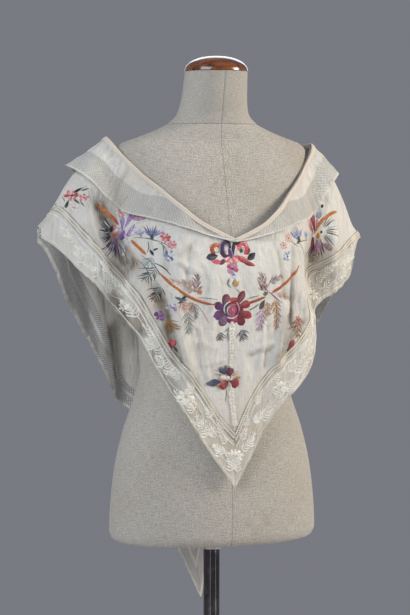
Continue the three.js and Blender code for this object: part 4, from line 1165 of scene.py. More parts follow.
SIDE_PATCHES = table("x z long wide turn dye tip outline high", [
    (-90, 1163, 17, 7, 150, "bottle", "slate"),
    (-86, 1160, 16, 7, 200, "slate", "navy"),
    (-83, 1165, 14, 5.5, 30, "navy", "bottle"),
    (40, 1153, 18, 9.5, 60, "bottle", "plum"),
    (46, 1170, 10, 8, 20, "green", "bottle"),
    (45, 1179, 17, 3, -48, "magenta"),
    (38, 1181, 14, 4.5, 118, "bottle"),
    (62, 1164, 32, 2.5, -39, "magenta", "mauve"),
    (-98, 1096, 13, 15, -40, "red", "rose", "petal"),
    (-101, 1092, 11, 8, -60, "burgundy"),
    (-93, 1086, 14, 4.5, -55, "bottle"),
    (92, 1089, 19, 9.5, 55, "burgundy", "red", "petal"),
    (88, 1082, 11, 5.5, 60, "burgundy"),
    (-233, 1306, 13, 6.5, 70, "bottle", "black"),
    (-218, 1328, 16, 4.5, 32, "black"),
    (-208, 1329, 13, 3.5, 18, "bottle"),
    (-220, 1311, 12, 4, -40, "bottle"),
    (-213, 1307, 11, 3, -60, "slate"),
    (-236, 1314, 9, 3, 100, "sage"),
    (-228, 1307, 8, 3, 200, "white"),
    (-154, 1259, 18, 11, 74, "purple", "violet", "leaf", 1.8),
    (-158, 1268, 18, 8, 130, "lilac", "white", "petal"),
    (-154, 1274, 30, 10, 92, "violet", "lilac", "petal"),
    (-147, 1280, 30, 10, 66, "lilac", "violet", "petal", 1.4),
    (-143, 1268, 28, 8, 60, "violet", "lilac"),
    (-150, 1277, 27, 3.4, 76, "white", None, "leaf", 2.4),
    (-158, 1276, 24, 3.0, 100, "white", None, "leaf", 2.2),
    (-139, 1268, 32, 3.0, 82, "white", None, "leaf", 2.0),
    (-144, 1264, 20, 3.0, 70, "lilac", "white", "leaf", 2.4),
    (-149, 1254, 22, 4.0, -64, "white", "lilac", "leaf", 1.6),
    (-137, 1262, 24, 3, 30, "lilac", "white"),
    (-132, 1287, 24, 15, 8, "mauve", "blush", "leaf", 0.6),
    (-132, 1294, 24, 2.6, -8, "white", None, "leaf", 1.8),
    (-130, 1280, 27, 2.6, 20, "white", None, "leaf", 1.8),
    (-168, 1245, 30, 14, 236, "mauve", "slate", "petal", 0.6),
    (-154, 1240, 30, 12, 272, "slate", "cream", "petal", 0.5),
    (-171, 1268, 12, 7, 70, "black", None, "leaf", 1.6),
    (-167, 1259, 13, 7, 24, "orange", "rose"),
    (-163, 1266, 12, 5, 40, "blush", "white"),
    (-164, 1271, 10, 7, -40, "rose", "blush"),
    (168, 1255, 10, 7, 90, "orange"),
    (173, 1261, 5, 4, 90, "black"),
    (160, 1276, 33, 9, 100, "burgundy", "rose", "petal"),
    (154, 1271, 27, 8, 118, "rose", "blush", "petal"),
    (166, 1274, 26, 6.5, 82, "magenta", "blush"),
    (157, 1273, 26, 1.8, 108, "white", None, "leaf", 2.0),
    (163, 1276, 26, 1.8, 92, "cream", None, "leaf", 2.0),
    (160, 1257, 14, 7, 88, "cream", "blush"),
    (159, 1242, 34, 6, 266, "burgundy", "red"),
    (162, 1238, 28, 1.8, 278, "burgundy", None, "leaf", 1.6),
    (175, 1239, 26, 1.8, 290, "burgundy", None, "leaf", 1.6),
    (168, 1237, 26, 13.5, 280, "mauve", "blush", "petal"),
    (183, 1238, 20, 12, -30, "mauve", "tan", "petal"),
    (177, 1302, 7, 5.5, 60, "navy"),
    (170, 1289, 17, 12, 70, "slate", "sky", "round", 0.5),
    (-122, 1233, 11, 5.5, 120, "navy"),
    (-117, 1238, 8, 4, 30, "bottle"),
    (112, 1248, 10, 4.5, 50, "bottle"),
])
silk += [petal_at(**row) for row in SIDE_PATCHES]
BRUSHES = table("x z near far start end strokes wide dyes", [
    (-166, 1263, 9, 30, 122, 218, 11, 2.8, ("black", "sky", "brown", "slate", "black")),
    (-168, 1263, 12, 24, 128, 212, 9, 1.6, ("white", "sky", "tan")),
    (-163, 1258, 13, 40, 216, 292, 12, 2.4, ("plum", "black", "mauve", "brown", "sky")),
    (-161, 1257, 16, 34, 222, 286, 9, 1.4, ("white", "cream", "lilac")),
    (172, 1262, 8, 33, 68, -58, 13, 2.2, ("sky", "slate", "tan", "bottle", "white")),
    (164, 1250, 8, 36, 236, 302, 8, 2.0, ("slate", "brown", "black", "mauve")),
])
for row in BRUSHES:
    silk += brush(**row)
THISTLES = table("x z heading size dyes cup", [
    (-120, 1257, 82, 20, ("blue", "lilac", "blue", "slate")),
    (-133, 1259, 100, 12, ("sky", "lilac", "blue"), "sage"),
    (113, 1252, 104, 21, ("blue", "lilac", "slate", "sky")),
    (138, 1252, 86, 13, ("sky", "blue"), "sage"),
])
for row in THISTLES:
    silk += thistle(**row)
STEMS = table("x0 z0 x1 z1 dye wide bend tip", [
    (-141, 1255, -106, 1247, "bottle"),
    (-238, 1300, -206, 1334, "bottle"),
    (-120, 1252, -96, 1240, "slate", 1.2),
    (-110, 1250, -108, 1228, "bottle", 1.2),
    (118, 1248, 98, 1262, "slate", 1.2),
    (112, 1246, 120, 1226, "bottle", 1.2),
    (-134, 1228, -112, 1196, "slate", 1.6),
    (-138, 1222, -124, 1180, "black", 1.4),
    (-126, 1250, -128, 1232, "bottle"),
    (-112, 1248, -103, 1236, "slate"),
    (-119, 1217, -100, 1199, "black", 2.2),
    (-147, 1244, -141, 1200, "peach", 1.8),
    (-129, 1176, -122, 1148, "peach", 2.0),
    (-63, 1165, -32, 1162, "slate", 1.5, 0.03),
    (-63, 1154, -45, 1126, "tan", 1.5, 0.05, "rose"),
    (16, 1162, 35, 1167, "green", 1.8, 0.03),
    (19, 1145, 35, 1155, "green", 2.4, -0.05, "bottle"),
    (-115, 1133, -96, 1120, "amber", 1.8),
    (85, 1112, 104, 1117, "brown", 1.8),
    (102, 1243, 146, 1247, "bottle"),
    (92, 1250, 108, 1240, "slate"),
    (-15, 1024, -16, 1004, "brown", 1.5, 0.03),
    (-10, 1024, -8, 1008, "tan", 1.5, 0.03),
    (-37, 1156, -22, 1150, "brown", 2.6, 0.03),
])
silk += [stem_line(**row) for row in STEMS]
floss = satin_silk("embroidery silk", 0.42, 0.08, STITCH["thread"], 0.42)
stitched("silk_embroidery", silk, floss, "cotton", STITCH["lift"])

# The two lace insertions. Narrow braided cotton lace, whipped between the front panel and each
# border, from the point at the front up to the shoulder seam.
LACE = dict(width=9, crown=1.0, stretch=2.2, pitch=2.8, lift=0.3, thickness=0.7)
LACE_NET = dict(columns=330, rows=9)


def insertion_foot(x):
    return inner_seam(x) - LACE["width"] * np.minimum(LACE["stretch"], slope_of(inner_seam, x))


def strip_grid(side, upper, lower, columns, rows):
    """x and run of a strip between two lines, from the middle out to the shoulder seam."""
    x = side * np.linspace(SEAM / 2, reach_of(lower, side), columns)
    top = run_beside(upper, x, 1)
    return between(x, top, np.maximum(top + PANEL_END, run_beside(lower, x, -1)), rows)


def lengths_of(points):
    """Place along and across a strip of points, in millimetres, measured on the cloth."""
    along = np.linalg.norm(np.diff(points, axis=0), axis=-1).mean(axis=1)
    across = np.linalg.norm(np.diff(points, axis=1), axis=-1)
    along = np.concatenate([[0], np.cumsum(along)])
    across = np.concatenate([np.zeros((len(points), 1)), np.cumsum(across, axis=1)], axis=1)
    return np.stack([np.broadcast_to(along[:, None], across.shape), across], axis=-1)


def lace_group():
    """Braided lace: plaits that cross from side to side, with small holes between them."""
    tree, given, result = new_group("braided lace", ("Pitch",), ("Hole", "Relief"))
    along, across = [times(tree, calc(tree, "DIVIDE", part, given["Pitch"]), 2 * math.pi)
                     for part in list(parts_of(tree, given["Place"]))[:2]]
    first, second = [calc(tree, "SINE", calc(tree, way, along, across)) for way in ("ADD", "SUBTRACT")]
    plaits = calc(tree, "MAXIMUM", first, second)
    tree.links.new(spread(tree, plaits, -0.1, -0.55, 0, 1), result.inputs["Hole"])
    tree.links.new(spread(tree, plaits, -0.6, 1.0), result.inputs["Relief"])
    return tree


braided_lace = lace_group()
# The lace's thread, and the painted shade between its plaits.
CREAM_LACE = dict(light=(0.88, 0.83, 0.73), dark=(0.42, 0.33, 0.23))


def cotton_lace(name, pitch, light, dark, see_through):
    """Heavy cotton lace or a whipped hem, in the tint of old thread, painted darker between its plaits, and
    darkened by any painted shade and dirt on the mesh.
    """
    material, tree, shader = new_material(name, light, 0.8)
    lace = from_group(tree, braided_lace, {"Place": map_place(tree, "edge"), "Pitch": pitch})
    shade_and_soil = add_node(tree, "ShaderNodeAttribute", attribute_name="shade_and_soil").outputs["Fac"]
    thread = blend_colours(tree, lace["Relief"], dark, light)
    tree.links.new(blend_colours(tree, shade_and_soil, thread, AGED["shade_and_soil"]), shader.inputs["Base Color"])
    tree.links.new(calc(tree, "MULTIPLY_ADD", lace["Hole"], -see_through, 1.0), shader.inputs["Alpha"])
    add_bump(tree, shader, lace["Relief"], 0.5, 0.0008)
    return material


insertion_lace = cotton_lace("insertion lace", LACE["pitch"] * MM, **CREAM_LACE, see_through=0.3)


def lace_strip(name, side, node):
    x, run = strip_grid(side, inner_seam, insertion_foot, **LACE_NET)
    cords = np.abs(np.sin(2 * np.pi * np.linspace(0, 1, LACE_NET["rows"])))
    lift = CLOTH_LIFT + LACE["lift"] + LACE["crown"] * cords
    points = on_cape(FRONT, x, run, np.broadcast_to(lift, x.shape))
    edge = lengths_of(points)
    # Painted shade in the groove between the two cords and along the strip's edges, uneven along it.
    groove_shade = (1 - cords) * (0.5 + 0.3 * np.sin(edge[..., 0] / 5) + 0.2 * np.sin(edge[..., 0] / 13))
    strip = thin_sheet(name, points, edge, insertion_lace, "lace", [node], LACE["thickness"], groove_shade)
    set_map(strip, "edge", edge)


lace_strip("lace_left", -1, "insertion_left")
lace_strip("lace_right", 1, "insertion_right")

# The two borders. Broad bands of the same lawn, mitred at the front point and worked in white
# satin stitch, sewn to the lace and free along a narrow hem at their outer edge.
OUTER_EDGE = table("x left right", [
    (0, 869, 869),
    (25, 903, 913),
    (50, 939, 960),
    (75, 979, 994),
    (100, 1018, 1018),
    (125, 1062, 1045),
    (140, 1098, 1078),
    (155, 1122, 1136),
    (175, 1146, 1152),
    (200, 1181, 1164),
    (225, 1209, 1181),
    (234, 1221, 1193),
    (243, 1231, 1234),
    (258, 1245, 1249),
    (270, 1253, 1249),
])
BORDER_NET = dict(columns=330, rows=44)
HEM = dict(width=2.2, rise=0.5, wave=1.1, wave_length=26, loose=14, still=0.25, still_to=40, over=70)


def outer_edge(x):
    return sided(OUTER_EDGE, x)


def hem_rise(away):
    """The small roll of a hem by the distance from the edge it is turned along."""
    return HEM["rise"] * np.exp(-(((away - HEM["width"] / 2) / HEM["width"]) ** 2) * 2)


border_lawn = sheer_cotton("border lawn", 0.95, 1.0)


def border_band(name, side, node):
    x, run = strip_grid(side, insertion_foot, outer_edge, **BORDER_NET)
    flat = on_cape(FRONT, x, run, np.full_like(x, CLOTH_LIFT))
    edge = lengths_of(flat)
    away = edge[:, -1:, 1] - edge[..., 1]
    outward = np.clip((np.abs(x) - HEM["still_to"]) / HEM["over"], 0, 1)
    slack = np.exp(-away / HEM["loose"]) * (HEM["still"] + (1 - HEM["still"]) * outward)
    beat = edge[..., 0] * 2 * np.pi / HEM["wave_length"] + 2.1 * np.sin(edge[..., 0] / 31)
    ripple = HEM["wave"] * slack * np.sin(beat) * (0.6 + 0.4 * np.sin(edge[..., 0] / 47))
    points = on_cape(FRONT, x, run, CLOTH_LIFT + hem_rise(away) + ripple)
    band = thin_sheet(name, points, edge, border_lawn, "cotton", [node], shade_and_soil=shade_and_soil_in(FRONT, x, run))
    set_map(band, "edge", np.stack([edge[..., 0], away], axis=-1))


border_band("border_band_left", -1, "border_left")
border_band("border_band_right", 1, "border_right")

# The white embroidery. Sprigs, open flowers and cords in white cotton satin stitch, worked along
# both borders before they were sewn on, and closest together at the point.
WHITE_WORK = table("x share sort size lean", [
    (3, 0.34, "flower", 10, 0),
    (5, 0.80, "sprig", 30, 24),
    (12, 0.55, "sprig", 26, -14),
    (3, 0.62, "sprig", 17, 30),
    (12, 0.30, "sprig", 18, 6),
    (20, 0.24, "sprig", 22, 30),
    (24, 0.78, "sprig", 24, 10),
    (33, 0.50, "sprig", 28, -4),
    (36, 0.20, "sprig", 22, 16),
    (44, 0.74, "sprig", 34, -8),
    (58, 0.40, "sprig", 24, -26),
    (74, 0.52, "flower", 12, 0),
    (82, 0.80, "sprig", 26, 4),
    (84, 0.30, "sprig", 20, -12),
    (98, 0.58, "sprig", 36, 12),
    (122, 0.50, "sprig", 36, 6),
    (126, 0.76, "sprig", 22, 8),
    (136, 0.40, "sprig", 30, -10),
    (158, 0.62, "flower", 9, 0),
    (168, 0.42, "sprig", 32, 14),
    (192, 0.66, "sprig", 30, -4),
    (204, 0.34, "sprig", 26, -8),
    (212, 0.70, "sprig", 24, 6),
    (230, 0.48, "sprig", 20, 20),
    (28, 0.36, "sprig", 18, -30),
    (52, 0.72, "sprig", 18, 12),
    (64, 0.24, "sprig", 22, 10),
    (66, 0.68, "sprig", 24, -6),
    (92, 0.46, "sprig", 20, 30),
    (108, 0.34, "sprig", 26, -6),
    (112, 0.66, "sprig", 22, 2),
    (146, 0.68, "sprig", 26, 12),
    (150, 0.26, "sprig", 22, 4),
    (178, 0.68, "sprig", 22, 4),
    (182, 0.28, "sprig", 24, 16),
    (218, 0.30, "sprig", 20, -20),
])
CORDS = dict(near_lace=0.10, near_hem=0.88, wide=1.8, scallop=0.035, beat=9, start=1.5, stop=14)
VINE = dict(share=0.52, swing=0.17, beat=13, wide=1.4, start=6, stop=20)


def border_height(x, share):
    return insertion_foot(x) + (outer_edge(x) - insertion_foot(x)) * share


def white_motifs(side, shift):
    """The sprigs and flowers of one border, each laid along its own stretch of the band."""
    rows = []
    for number, row in enumerate(WHITE_WORK):
        x = side * (row["x"] + shift * (number % 3))
        z = float(border_height(x, row["share"]))
        ahead = float(border_height(x + side * 8, row["share"]))
        heading = math.degrees(math.atan2(ahead - z, side * 8)) + side * row["lean"]
        size = row["size"] * (1 + 0.1 * math.sin(3.1 * number + side))
        if row["sort"] == "flower":
            rows += blossom(x, z, size, 7, ("satin", "cream"), "stain", 40 * number, 0.72)
            rows.append(ring_of(x, z, size * 0.45, size * 0.45, 30, 350, 1.6, "satin", "cream", 1.7))
            continue
        end_x = x + size * math.cos(math.radians(heading))
        end_z = z + size * math.sin(math.radians(heading))
        pairs = 2 + int(size / 6)
        dyes = ("satin", "cream")
        rows += spray(x, z, end_x, end_z, pairs, 10, 3.0, dyes, "satin", 0.12 * side, 44, 0.12)
    return rows


def border_run(side, line):
    """x along a border, from near the point to short of the shoulder seam."""
    return side * np.linspace(line["start"], reach_of(outer_edge, side) - line["stop"], 260)


def border_cord(side, share):
    """A whipped cord that follows the band in shallow scallops."""
    x = border_run(side, CORDS)
    wavy = share + CORDS["scallop"] * np.abs(np.sin(np.abs(x) / CORDS["beat"]))
    return patch((x, border_height(x, wavy)), CORDS["wide"], "satin", "satin", "stem", 0.8)


def border_vine(side):
    """The thin stem that wanders down the middle of the band between the sprigs."""
    x = border_run(side, VINE)
    wavy = VINE["share"] + VINE["swing"] * np.sin(np.abs(x) / VINE["beat"])
    return patch((x, border_height(x, wavy)), VINE["wide"], "satin", "satin", "stem", 0.7)


satin_cotton = satin_silk("white satin cotton", 0.36, 0.2, 0.0007, 0.06)
white_lift = CLOTH_LIFT + 0.5
for side, word in ((-1, "left"), (1, "right")):
    white = white_motifs(side, 2 if side < 0 else 0)
    white += [border_cord(side, CORDS["near_lace"]), border_cord(side, CORDS["near_hem"])]
    white.append(border_vine(side))
    stitched("white_work_" + word, white, satin_cotton, "cotton", white_lift)

# The back panel. One long piece of lawn that falls from the neck and shoulders to a point below
# the form, with two strips of drawn-thread net inside its narrow hem.
BACK_STATIONS = dict(mid=0, blade=75, side=130, arm=160, wing=200, outer=240, tip=270)
BACK_DEPTH = table("z mid blade side arm wing outer tip", [
    (1410, 72, 68, 50, 34, 36, 46, 58),
    (1350, 96, 92, 74, 58, 50, 52, 60),
    (1300, 104, 102, 88, 74, 60, 56, 62),
    (1185, 106, 105, 97, 86, 68, 54, 54),
    (1110, 104, 104, 98, 88, 74, 60, 54),
    (1035, 104, 104, 99, 88, 76, 64, 56),
    (950, 110, 109, 102, 92, 80, 68, 60),
    (860, 119, 117, 108, 96, 84, 72, 64),
    (760, 122, 119, 110, 100, 88, 76, 68),
    (660, 126, 122, 112, 102, 90, 78, 70),
])
BACK_EDGE = table("x left right", [
    (0, 645, 645),
    (28, 733, 733),
    (50, 810, 810),
    (75, 890, 890),
    (95, 946, 944),
    (110, 972, 964),
    (132, 990, 976),
    (161, 1048, 1030),
    (200, 1116, 1096),
    (225, 1157, 1152),
    (245, 1205, 1205),
    (258, 1232, 1245),
    (270, 1246, 1245),
])
BACK_FOLDS = table("name x0 z0 x1 z1 width out", [
    ("left corner fold", -128, 1100, -116, 985, 11, 9),
    ("left corner trough", -150, 1100, -134, 1005, 10, -8),
    ("right corner fold", 130, 1105, 118, 975, 11, 8),
    ("right corner trough", 152, 1110, 138, 1010, 10, -8),
    ("left blade gather", -88, 1290, -70, 1130, 13, 5),
    ("right blade gather", 92, 1295, 72, 1120, 13, 6),
    ("middle gather", 6, 1280, 0, 1090, 15, 4),
    ("tail fold left", -34, 960, -8, 760, 11, 6),
    ("tail fold right", 40, 940, 12, 770, 11, 5),
    ("left side drape", -205, 1215, -176, 1110, 13, 7),
    ("right side drape", 210, 1205, 182, 1100, 13, 7),
])
COLLAR_BACK = table("along neckX neckZ edgeX edgeZ rightIn stand", [
    (0.6, 167, 1404, 216, 1353, 11, 14),
    (0.7, 152, 1391, 192, 1329, 6, 8),
    (0.8, 110, 1381, 136, 1309, 2, 5),
    (0.9, 55, 1374, 68, 1301, 0, 3),
    (1, 0, 1371, 0, 1299, 0, 3),
])
BACK_CREASES = table("name x0 z0 x1 z1 width out", [
    ("left wing one", -228, 1220, -204, 1120, 6, 1.5),
    ("left wing two", -188, 1170, -162, 1060, 6, 1.6),
    ("left hem pleat", -134, 1060, -124, 992, 6, 2.0),
    ("left hem pleat bed", -142, 1060, -133, 1000, 5, -1.8),
    ("blade crease left", -50, 1270, -40, 1150, 7, 1.4),
    ("blade crease right", 46, 1276, 34, 1140, 7, 1.5),
    ("right wing one", 226, 1210, 206, 1110, 6, 1.4),
    ("right wing two", 190, 1165, 166, 1060, 6, 1.5),
    ("low left crease", -70, 1060, -44, 930, 7, 1.5),
    ("low right crease", 76, 1050, 52, 930, 7, 1.4),
    ("tail crease", 2, 880, 4, 720, 6, 1.2),
])
# Lines of painted shade and brown staining: inside the left edge, on the right blade and low on the tail.
BACK_SHADE_AND_STAINS = table("name x0 z0 x1 z1 width out", [
    ("inside left edge", -136, 1184, -108, 1084, 17, 0.50),
    ("right blade", 96, 1270, 80, 1180, 14, 0.12),
    ("low on the tail", 8, 820, 4, 700, 16, 0.25),
])
BACK = dict(depth=BACK_DEPTH, stations=BACK_STATIONS, folds=BACK_FOLDS + BACK_CREASES,
            shade_and_stains=BACK_SHADE_AND_STAINS, outward=1)
BACK_NET = dict(columns=230, rows=170, ease=1.2)
BACK_WAVE = dict(out=1.0, loose=12, length=21)
NET_BANDS = ((0.0030, 0.0150), (0.0185, 0.0275))


def back_edge(x):
    return sided(BACK_EDGE, x)


def away_from_line(x, run, line_x, line_run):
    """The distance of flat places from a line, and how far along it the nearest place is."""
    length = np.concatenate([[0], np.cumsum(np.hypot(np.diff(line_x), np.diff(line_run)))])
    gap = np.hypot(x.reshape(-1, 1) - line_x, run.reshape(-1, 1) - line_run)
    nearest = gap.argmin(axis=1)
    away = np.take_along_axis(gap, nearest[:, None], axis=1)[:, 0]
    return np.stack([length[nearest], away], axis=-1).reshape(*x.shape, 2)


back_x = np.repeat(np.linspace(-WING_END["left"], WING_END["right"], BACK_NET["columns"])[:, None],
                   BACK_NET["rows"], axis=1)
back_top = run_at_neck(back_x[:, :1], COLLAR_BACK[::-1], level=True)
back_foot = run_to(back_x[:, :1], back_edge(back_x[:, :1]))
back_run = back_top + (back_foot - back_top) * np.linspace(0, 1, BACK_NET["rows"]) ** BACK_NET["ease"]
back_girth = girth_of(BACK)
back_cut = np.stack([np.interp(back_x, *back_girth), -back_run], axis=-1)
edge_line_x = np.linspace(-WING_END["left"], WING_END["right"], 700)
edge_line_run = run_to(edge_line_x, back_edge(edge_line_x))
back_edges = away_from_line(back_cut[..., 0], back_run, np.interp(edge_line_x, *back_girth), edge_line_run)
back_loose = BACK_WAVE["out"] * np.exp(-back_edges[..., 1] / BACK_WAVE["loose"])
back_ripple = back_loose * np.sin(back_edges[..., 0] * 2 * np.pi / BACK_WAVE["length"])
back_points = on_cape(BACK, back_x, back_run, CLOTH_LIFT + hem_rise(back_edges[..., 1]) + back_ripple)
back_lawn = sheer_cotton("back lawn", 0.88, 0.45, NET_BANDS)
back_cloth = thin_sheet("back_cloth", back_points, back_cut, back_lawn, "cotton", ["back_panel"],
                        shade_and_soil=shade_and_soil_in(BACK, back_x, back_run))
set_map(back_cloth, "edge", back_edges)

# The collar, in two halves that meet at the front and in the middle of the back. Turned down over
# the cape from the neck, of lawn with a broad band of drawn net inside its outer edge.
COLLAR_NET = dict(along=300, across=36, in_front=0.62)
COLLAR_WAVE = dict(hem=1.0, loose=16, hem_length=41, drag=0.9, drag_length=67, crease=0.5)
COLLAR_SOIL = dict(yellow=0.13, yellow_at=95, yellow_width=45, rubbed=0.20, rubbed_width=9)
SEAT = dict(least=0.5, share=0.12, ease=1.5)
OVER_SHOULDER = COLLAR_BACK[0]["along"]


def collar_edges(side, along):
    """x and signed run of the neck edge and outer edge at places along the collar, and its stand."""
    parts = {}
    for name in ("neckX", "neckZ", "edgeX", "edgeZ", "rightIn", "stand"):
        ahead = column(COLLAR_FRONT, "along", name, along)
        behind = column(COLLAR_BACK, "along", name, along)
        parts[name] = np.where(along < OVER_SHOULDER, ahead, behind)
    inward = parts["rightIn"] if side > 0 else 0
    way = np.where(along < OVER_SHOULDER, 1, -1)

    def place(across, height):
        return side * across, way * run_to(side * across, height + neck_tilt(side * across))

    neck = place(parts["neckX"], parts["neckZ"])
    edge = place(parts["edgeX"] - inward, parts["edgeZ"])
    return neck, edge, parts["stand"] - inward / 2


def on_both(x, run, lift):
    """Points off the cape, in front where the run is above zero and behind where it is below."""
    front = on_cape(FRONT, x, np.abs(run), lift)
    behind = on_cape(BACK, x, np.abs(run), lift)
    return np.where((run >= 0)[..., None], front, behind)


def collar_surface(side, along, across, above=0.0):
    neck, edge, stand = collar_edges(side, along)
    x = neck[0] + (edge[0] - neck[0]) * across
    run = neck[1] + (edge[1] - neck[1]) * across
    x = side * np.maximum(SEAM / 2, side * x)
    lift = WALL + SEAM + SEAT["least"] + stand * (SEAT["share"] + across ** SEAT["ease"]) + CLOTH_LIFT
    return on_both(x, run, lift + above)


collar_lawn = sheer_cotton("collar lawn", 0.98, 0.75, ((0.0030, 0.0390),), 0.0048, 0.20)


def collar_half(name, side, node):
    share = np.linspace(0, 1, COLLAR_NET["along"])
    in_front = COLLAR_NET["in_front"]
    behind = OVER_SHOULDER + (share - in_front) * (1 - OVER_SHOULDER) / (1 - in_front)
    along = np.where(share < in_front, share * OVER_SHOULDER / in_front, behind)
    along, across = np.meshgrid(along, np.linspace(0, 1, COLLAR_NET["across"]), indexing="ij")
    flat = lengths_of(collar_surface(side, along, across))
    away = flat[:, -1:, 1] - flat[..., 1]
    wave, dirt = COLLAR_WAVE, COLLAR_SOIL
    loose = wave["hem"] * np.exp(-away / wave["loose"])
    ripple = loose * np.sin(flat[..., 0] * 2 * np.pi / wave["hem_length"] + side) * across
    drag = np.sin(flat[..., 0] * 2 * np.pi / wave["drag_length"] + 2.2 * across + side)
    crease = np.sin(flat[..., 1] / 4.1 + 0.9 * np.sin(flat[..., 0] / 33))
    middle = np.sin(np.pi * across)
    raised = hem_rise(away) + ripple + wave["drag"] * (drag * middle) + wave["crease"] * crease * middle
    points = collar_surface(side, along, across, raised)
    yellowing = dirt["yellow"] * np.exp(-(((flat[..., 0] - dirt["yellow_at"]) / dirt["yellow_width"]) ** 2))
    rubbed = dirt["rubbed"] * np.exp(-((flat[..., 1] / dirt["rubbed_width"]) ** 2))
    rubbed = rubbed * (0.6 + 0.4 * np.sin(flat[..., 0] / 23))
    half = thin_sheet(name, points, flat, collar_lawn, "cotton", [node], shade_and_soil=yellowing + rubbed)
    set_map(half, "edge", np.stack([flat[..., 0], away], axis=-1))


collar_half("collar_cloth_left", -1, "collar_left")
collar_half("collar_cloth_right", 1, "collar_right")

# The neck hems. A narrow bias band, whipped over the neck edge of each half of the collar, with a
# second thinner band below it.
NECK_HEM = dict(width=6.0, lift=0.9, roll=1.1, groove=0.62, second=0.7, most=0.8, thickness=0.8)
NECK_NET = dict(along=420, across=11)
hem_thread = cotton_lace("whipped hem", 0.0016, (0.80, 0.71, 0.61), (0.58, 0.48, 0.39), 0.0)


def neck_band(name, side, node):
    shares = [np.linspace(0, 1, count) for count in NECK_NET.values()]
    along, across = np.meshgrid(*shares, indexing="ij")
    neck, edge, _ = collar_edges(side, along)
    wide = np.hypot(edge[0] - neck[0], edge[1] - neck[1])
    across_collar = across * np.minimum(NECK_HEM["most"], NECK_HEM["width"] / wide)
    split = NECK_HEM["groove"]
    second = NECK_HEM["second"] * np.sin(np.pi * (across - split) / (1 - split))
    rolls = np.where(across < split, np.sin(np.pi * across / split), second)
    points = collar_surface(side, along, across_collar, NECK_HEM["lift"] + NECK_HEM["roll"] * rolls)
    flat = lengths_of(points)
    band = thin_sheet(name, points, flat, hem_thread, "lace", [node], NECK_HEM["thickness"])
    set_map(band, "edge", flat)


neck_band("neck_band_left", -1, "neck_hem_left")
neck_band("neck_band_right", 1, "neck_hem_right")

# The centre braid. A scalloped band of raised white satin stitch that runs down the middle of the
# front panel to the point, wider towards its foot.
BRAID = dict(top=1128, foot=966, narrow=5, wide=11, scallop=13, wave=1.2, shift=-8, lift=1.2,
             crown=1.2, thickness=0.6)
BRAID_NET = dict(down=300, across=13)


def braid_points():
    shares = [np.linspace(0, 1, count) for count in BRAID_NET.values()]
    down, across = np.meshgrid(*shares, indexing="ij")
    z = BRAID["top"] + (BRAID["foot"] - BRAID["top"]) * down
    beat = np.abs(np.sin(np.pi * z / BRAID["scallop"]))
    half = (BRAID["narrow"] + (BRAID["wide"] - BRAID["narrow"]) * down ** 3) / 2 + BRAID["wave"] * (beat - 1)
    x = BRAID["shift"] * (1 - down ** 4) + half * (2 * across - 1)
    raised = BRAID["crown"] * np.sin(np.pi * across) * (0.35 + 0.65 * beat)
    return on_cape(FRONT, x, run_to(x, z), BRAID["lift"] + raised)


braid_thread = cotton_lace("braid thread", 0.0021, (0.78, 0.73, 0.63), (0.56, 0.49, 0.37), 0.0)
braid_grid = braid_points()
braid_flat = lengths_of(braid_grid)
braid = thin_sheet("braid_band", braid_grid, braid_flat, braid_thread, "lace", ["centre_braid"],
                   BRAID["thickness"])
set_map(braid, "edge", braid_flat)

braid_stitches = spray(-8, 1127, -8, 1060, 13, 8.5, 3.8, ("cream", "satin"), "cream", 0.0, 34, 0.12)
braid_stitches += spray(-8, 1026, -1, 966, 10, 9, 3.4, ("cream", "satin"), "cream", 0.0, 26, 0.12)
stitched("braid_stitches", braid_stitches, satin_cotton, "cotton", BRAID["lift"] + 0.6)

# The low bunch. A small flower with dark leaves in the same silk, worked over the braid last of all,
# so that its petals lie on top of the braid's stitches.
LOW_BUNCH = table("x z long wide turn dye tip outline high", [
    (-36, 1034, 25, 11, 184, "navy", "slate"),
    (-27, 1031, 14, 4, 200, "tan", "amber"),
    (-22, 1052, 15, 9, 130, "navy", "slate", "petal"),
    (-28, 1048, 13, 5, 160, "tan", "cream"),
    (-16, 1055, 13, 7, 105, "plum", "slate"),
    (-10, 1049, 17, 14, 98, "burgundy", "plum", "petal", 1.4),
    (-2, 1048, 12, 6, 40, "tan", "blush"),
    (3, 1041, 11, 5, 10, "amber", "tan"),
    (-3, 1033, 17, 15, -25, "burgundy", "red", "petal", 1.4),
    (-19, 1031, 17, 14, 215, "burgundy", "red", "petal", 1.4),
    (-20, 1041, 13, 8, 180, "white", "blush", "petal", 1.6),
    (-13, 1040, 9, 7, 60, "blush", "white", "round", 2.2),
    (-11, 1035, 14, 1.8, -60, "tan", "cream", "leaf", 2.4),
])
low_bunch = [petal_at(**row) for row in LOW_BUNCH]
stitched("low_bunch", low_bunch, floss, "cotton", BRAID["lift"] + 0.9)

# The studio. A pale floor, a large soft lamp high on the right, a cooler fill on the left, a narrow
# strip on each side and a lamp behind. The camera is a little to the left of the middle, at about
# the height of the shoulders.
FLOOR_REACH = 2600
SKY = dict(colour=(0.19, 0.195, 0.222), strength=1.0)
CAMERA = dict(turn=-16.5, rise=3.66, away=3300, aim=(-10, 3, 1141), lens=121.1)
LAMPS = [
    dict(name="key lamp", at=(2500, -1300, 2300), size=1.0, power=81, colour=(1.0, 0.94, 0.84)),
    dict(name="left fill", at=(-2300, -1500, 2600), size=2.0, power=70, colour=(0.86, 0.93, 1.0)),
    dict(name="left strip", at=(-1500, -2300, 950), size=0.10, tall=1.9, power=2.0, colour=(0.95, 0.97, 1.0)),
    dict(name="right strip", at=(1750, -1700, 950), size=0.10, tall=1.9, power=2.5, colour=(1.0, 0.98, 0.95)),
    dict(name="back rim", at=(900, 2400, 2300), size=1.6, power=16, colour=(0.95, 0.97, 1.0)),
]


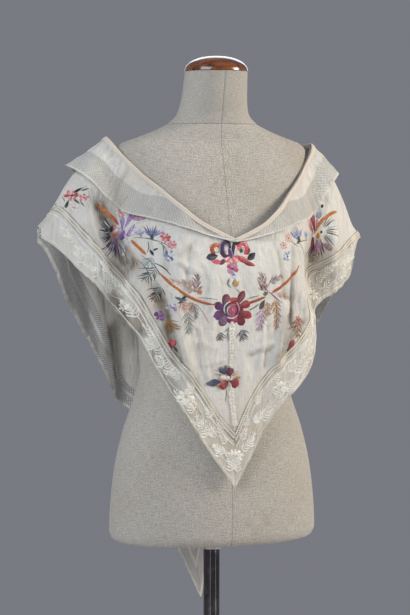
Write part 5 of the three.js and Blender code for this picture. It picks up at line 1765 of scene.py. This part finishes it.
def aim_at(thing, target):
    way = np.asarray(target, float) - np.asarray(thing.location)
    turn = math.atan2(way[1], way[0]) - math.pi / 2
    rise = math.atan2(way[2], math.hypot(way[0], way[1]))
    thing.rotation_euler = (math.pi / 2 + rise, 0, turn)


floor_material, floor_tree, floor_shader = new_material("studio floor", (0.62, 0.62, 0.63), 0.7)
floor_grain = soft_noise(floor_tree, object_place(floor_tree), 30, 4)
floor_tree.links.new(spread(floor_tree, floor_grain, 0.3, 0.7, 0.62, 0.78), floor_shader.inputs["Roughness"])
floor_mesh = bpy.data.meshes.new("studio_floor")
reach = FLOOR_REACH * MM
floor_corners = [(-reach, -reach, 0), (reach, -reach, 0), (reach, reach, 0), (-reach, reach, 0)]
floor_mesh.from_pydata(floor_corners, [], [(0, 1, 2, 3)])
floor_mesh.materials.append(floor_material)
floor = bpy.data.objects.new("studio_floor", floor_mesh)
bpy.context.collection.objects.link(floor)

world = bpy.data.worlds.new("studio")
world.use_nodes = True
sky = world.node_tree.nodes["Background"]
sky.inputs["Color"].default_value = (*SKY["colour"], 1)
sky.inputs["Strength"].default_value = SKY["strength"]
bpy.context.scene.world = world

for row in LAMPS:
    light = bpy.data.lights.new(row["name"], "AREA")
    light.size = row["size"]
    if "tall" in row:
        light.shape = "RECTANGLE"
        light.size_y = row["tall"]
    light.energy = row["power"]
    light.color = row["colour"]
    lamp = bpy.data.objects.new(row["name"], light)
    lamp.location = np.asarray(row["at"]) * MM
    aim_at(lamp, (0, 0, 0.95 if "tall" in row else 1.2))
    bpy.context.collection.objects.link(lamp)

camera_data = bpy.data.cameras.new("camera")
camera_data.lens = CAMERA["lens"]
camera_data.sensor_fit = "VERTICAL"
camera_data.sensor_height = 36
camera = bpy.data.objects.new("camera", camera_data)
turn, rise = math.radians(CAMERA["turn"]), math.radians(CAMERA["rise"])
back = np.array([math.sin(turn) * math.cos(rise), -math.cos(turn) * math.cos(rise), math.sin(rise)])
camera.location = (np.asarray(CAMERA["aim"]) + back * CAMERA["away"]) * MM
aim_at(camera, np.asarray(CAMERA["aim"]) * MM)
bpy.context.collection.objects.link(camera)
bpy.context.scene.camera = camera
bpy.context.scene.view_settings.view_transform = "Standard"
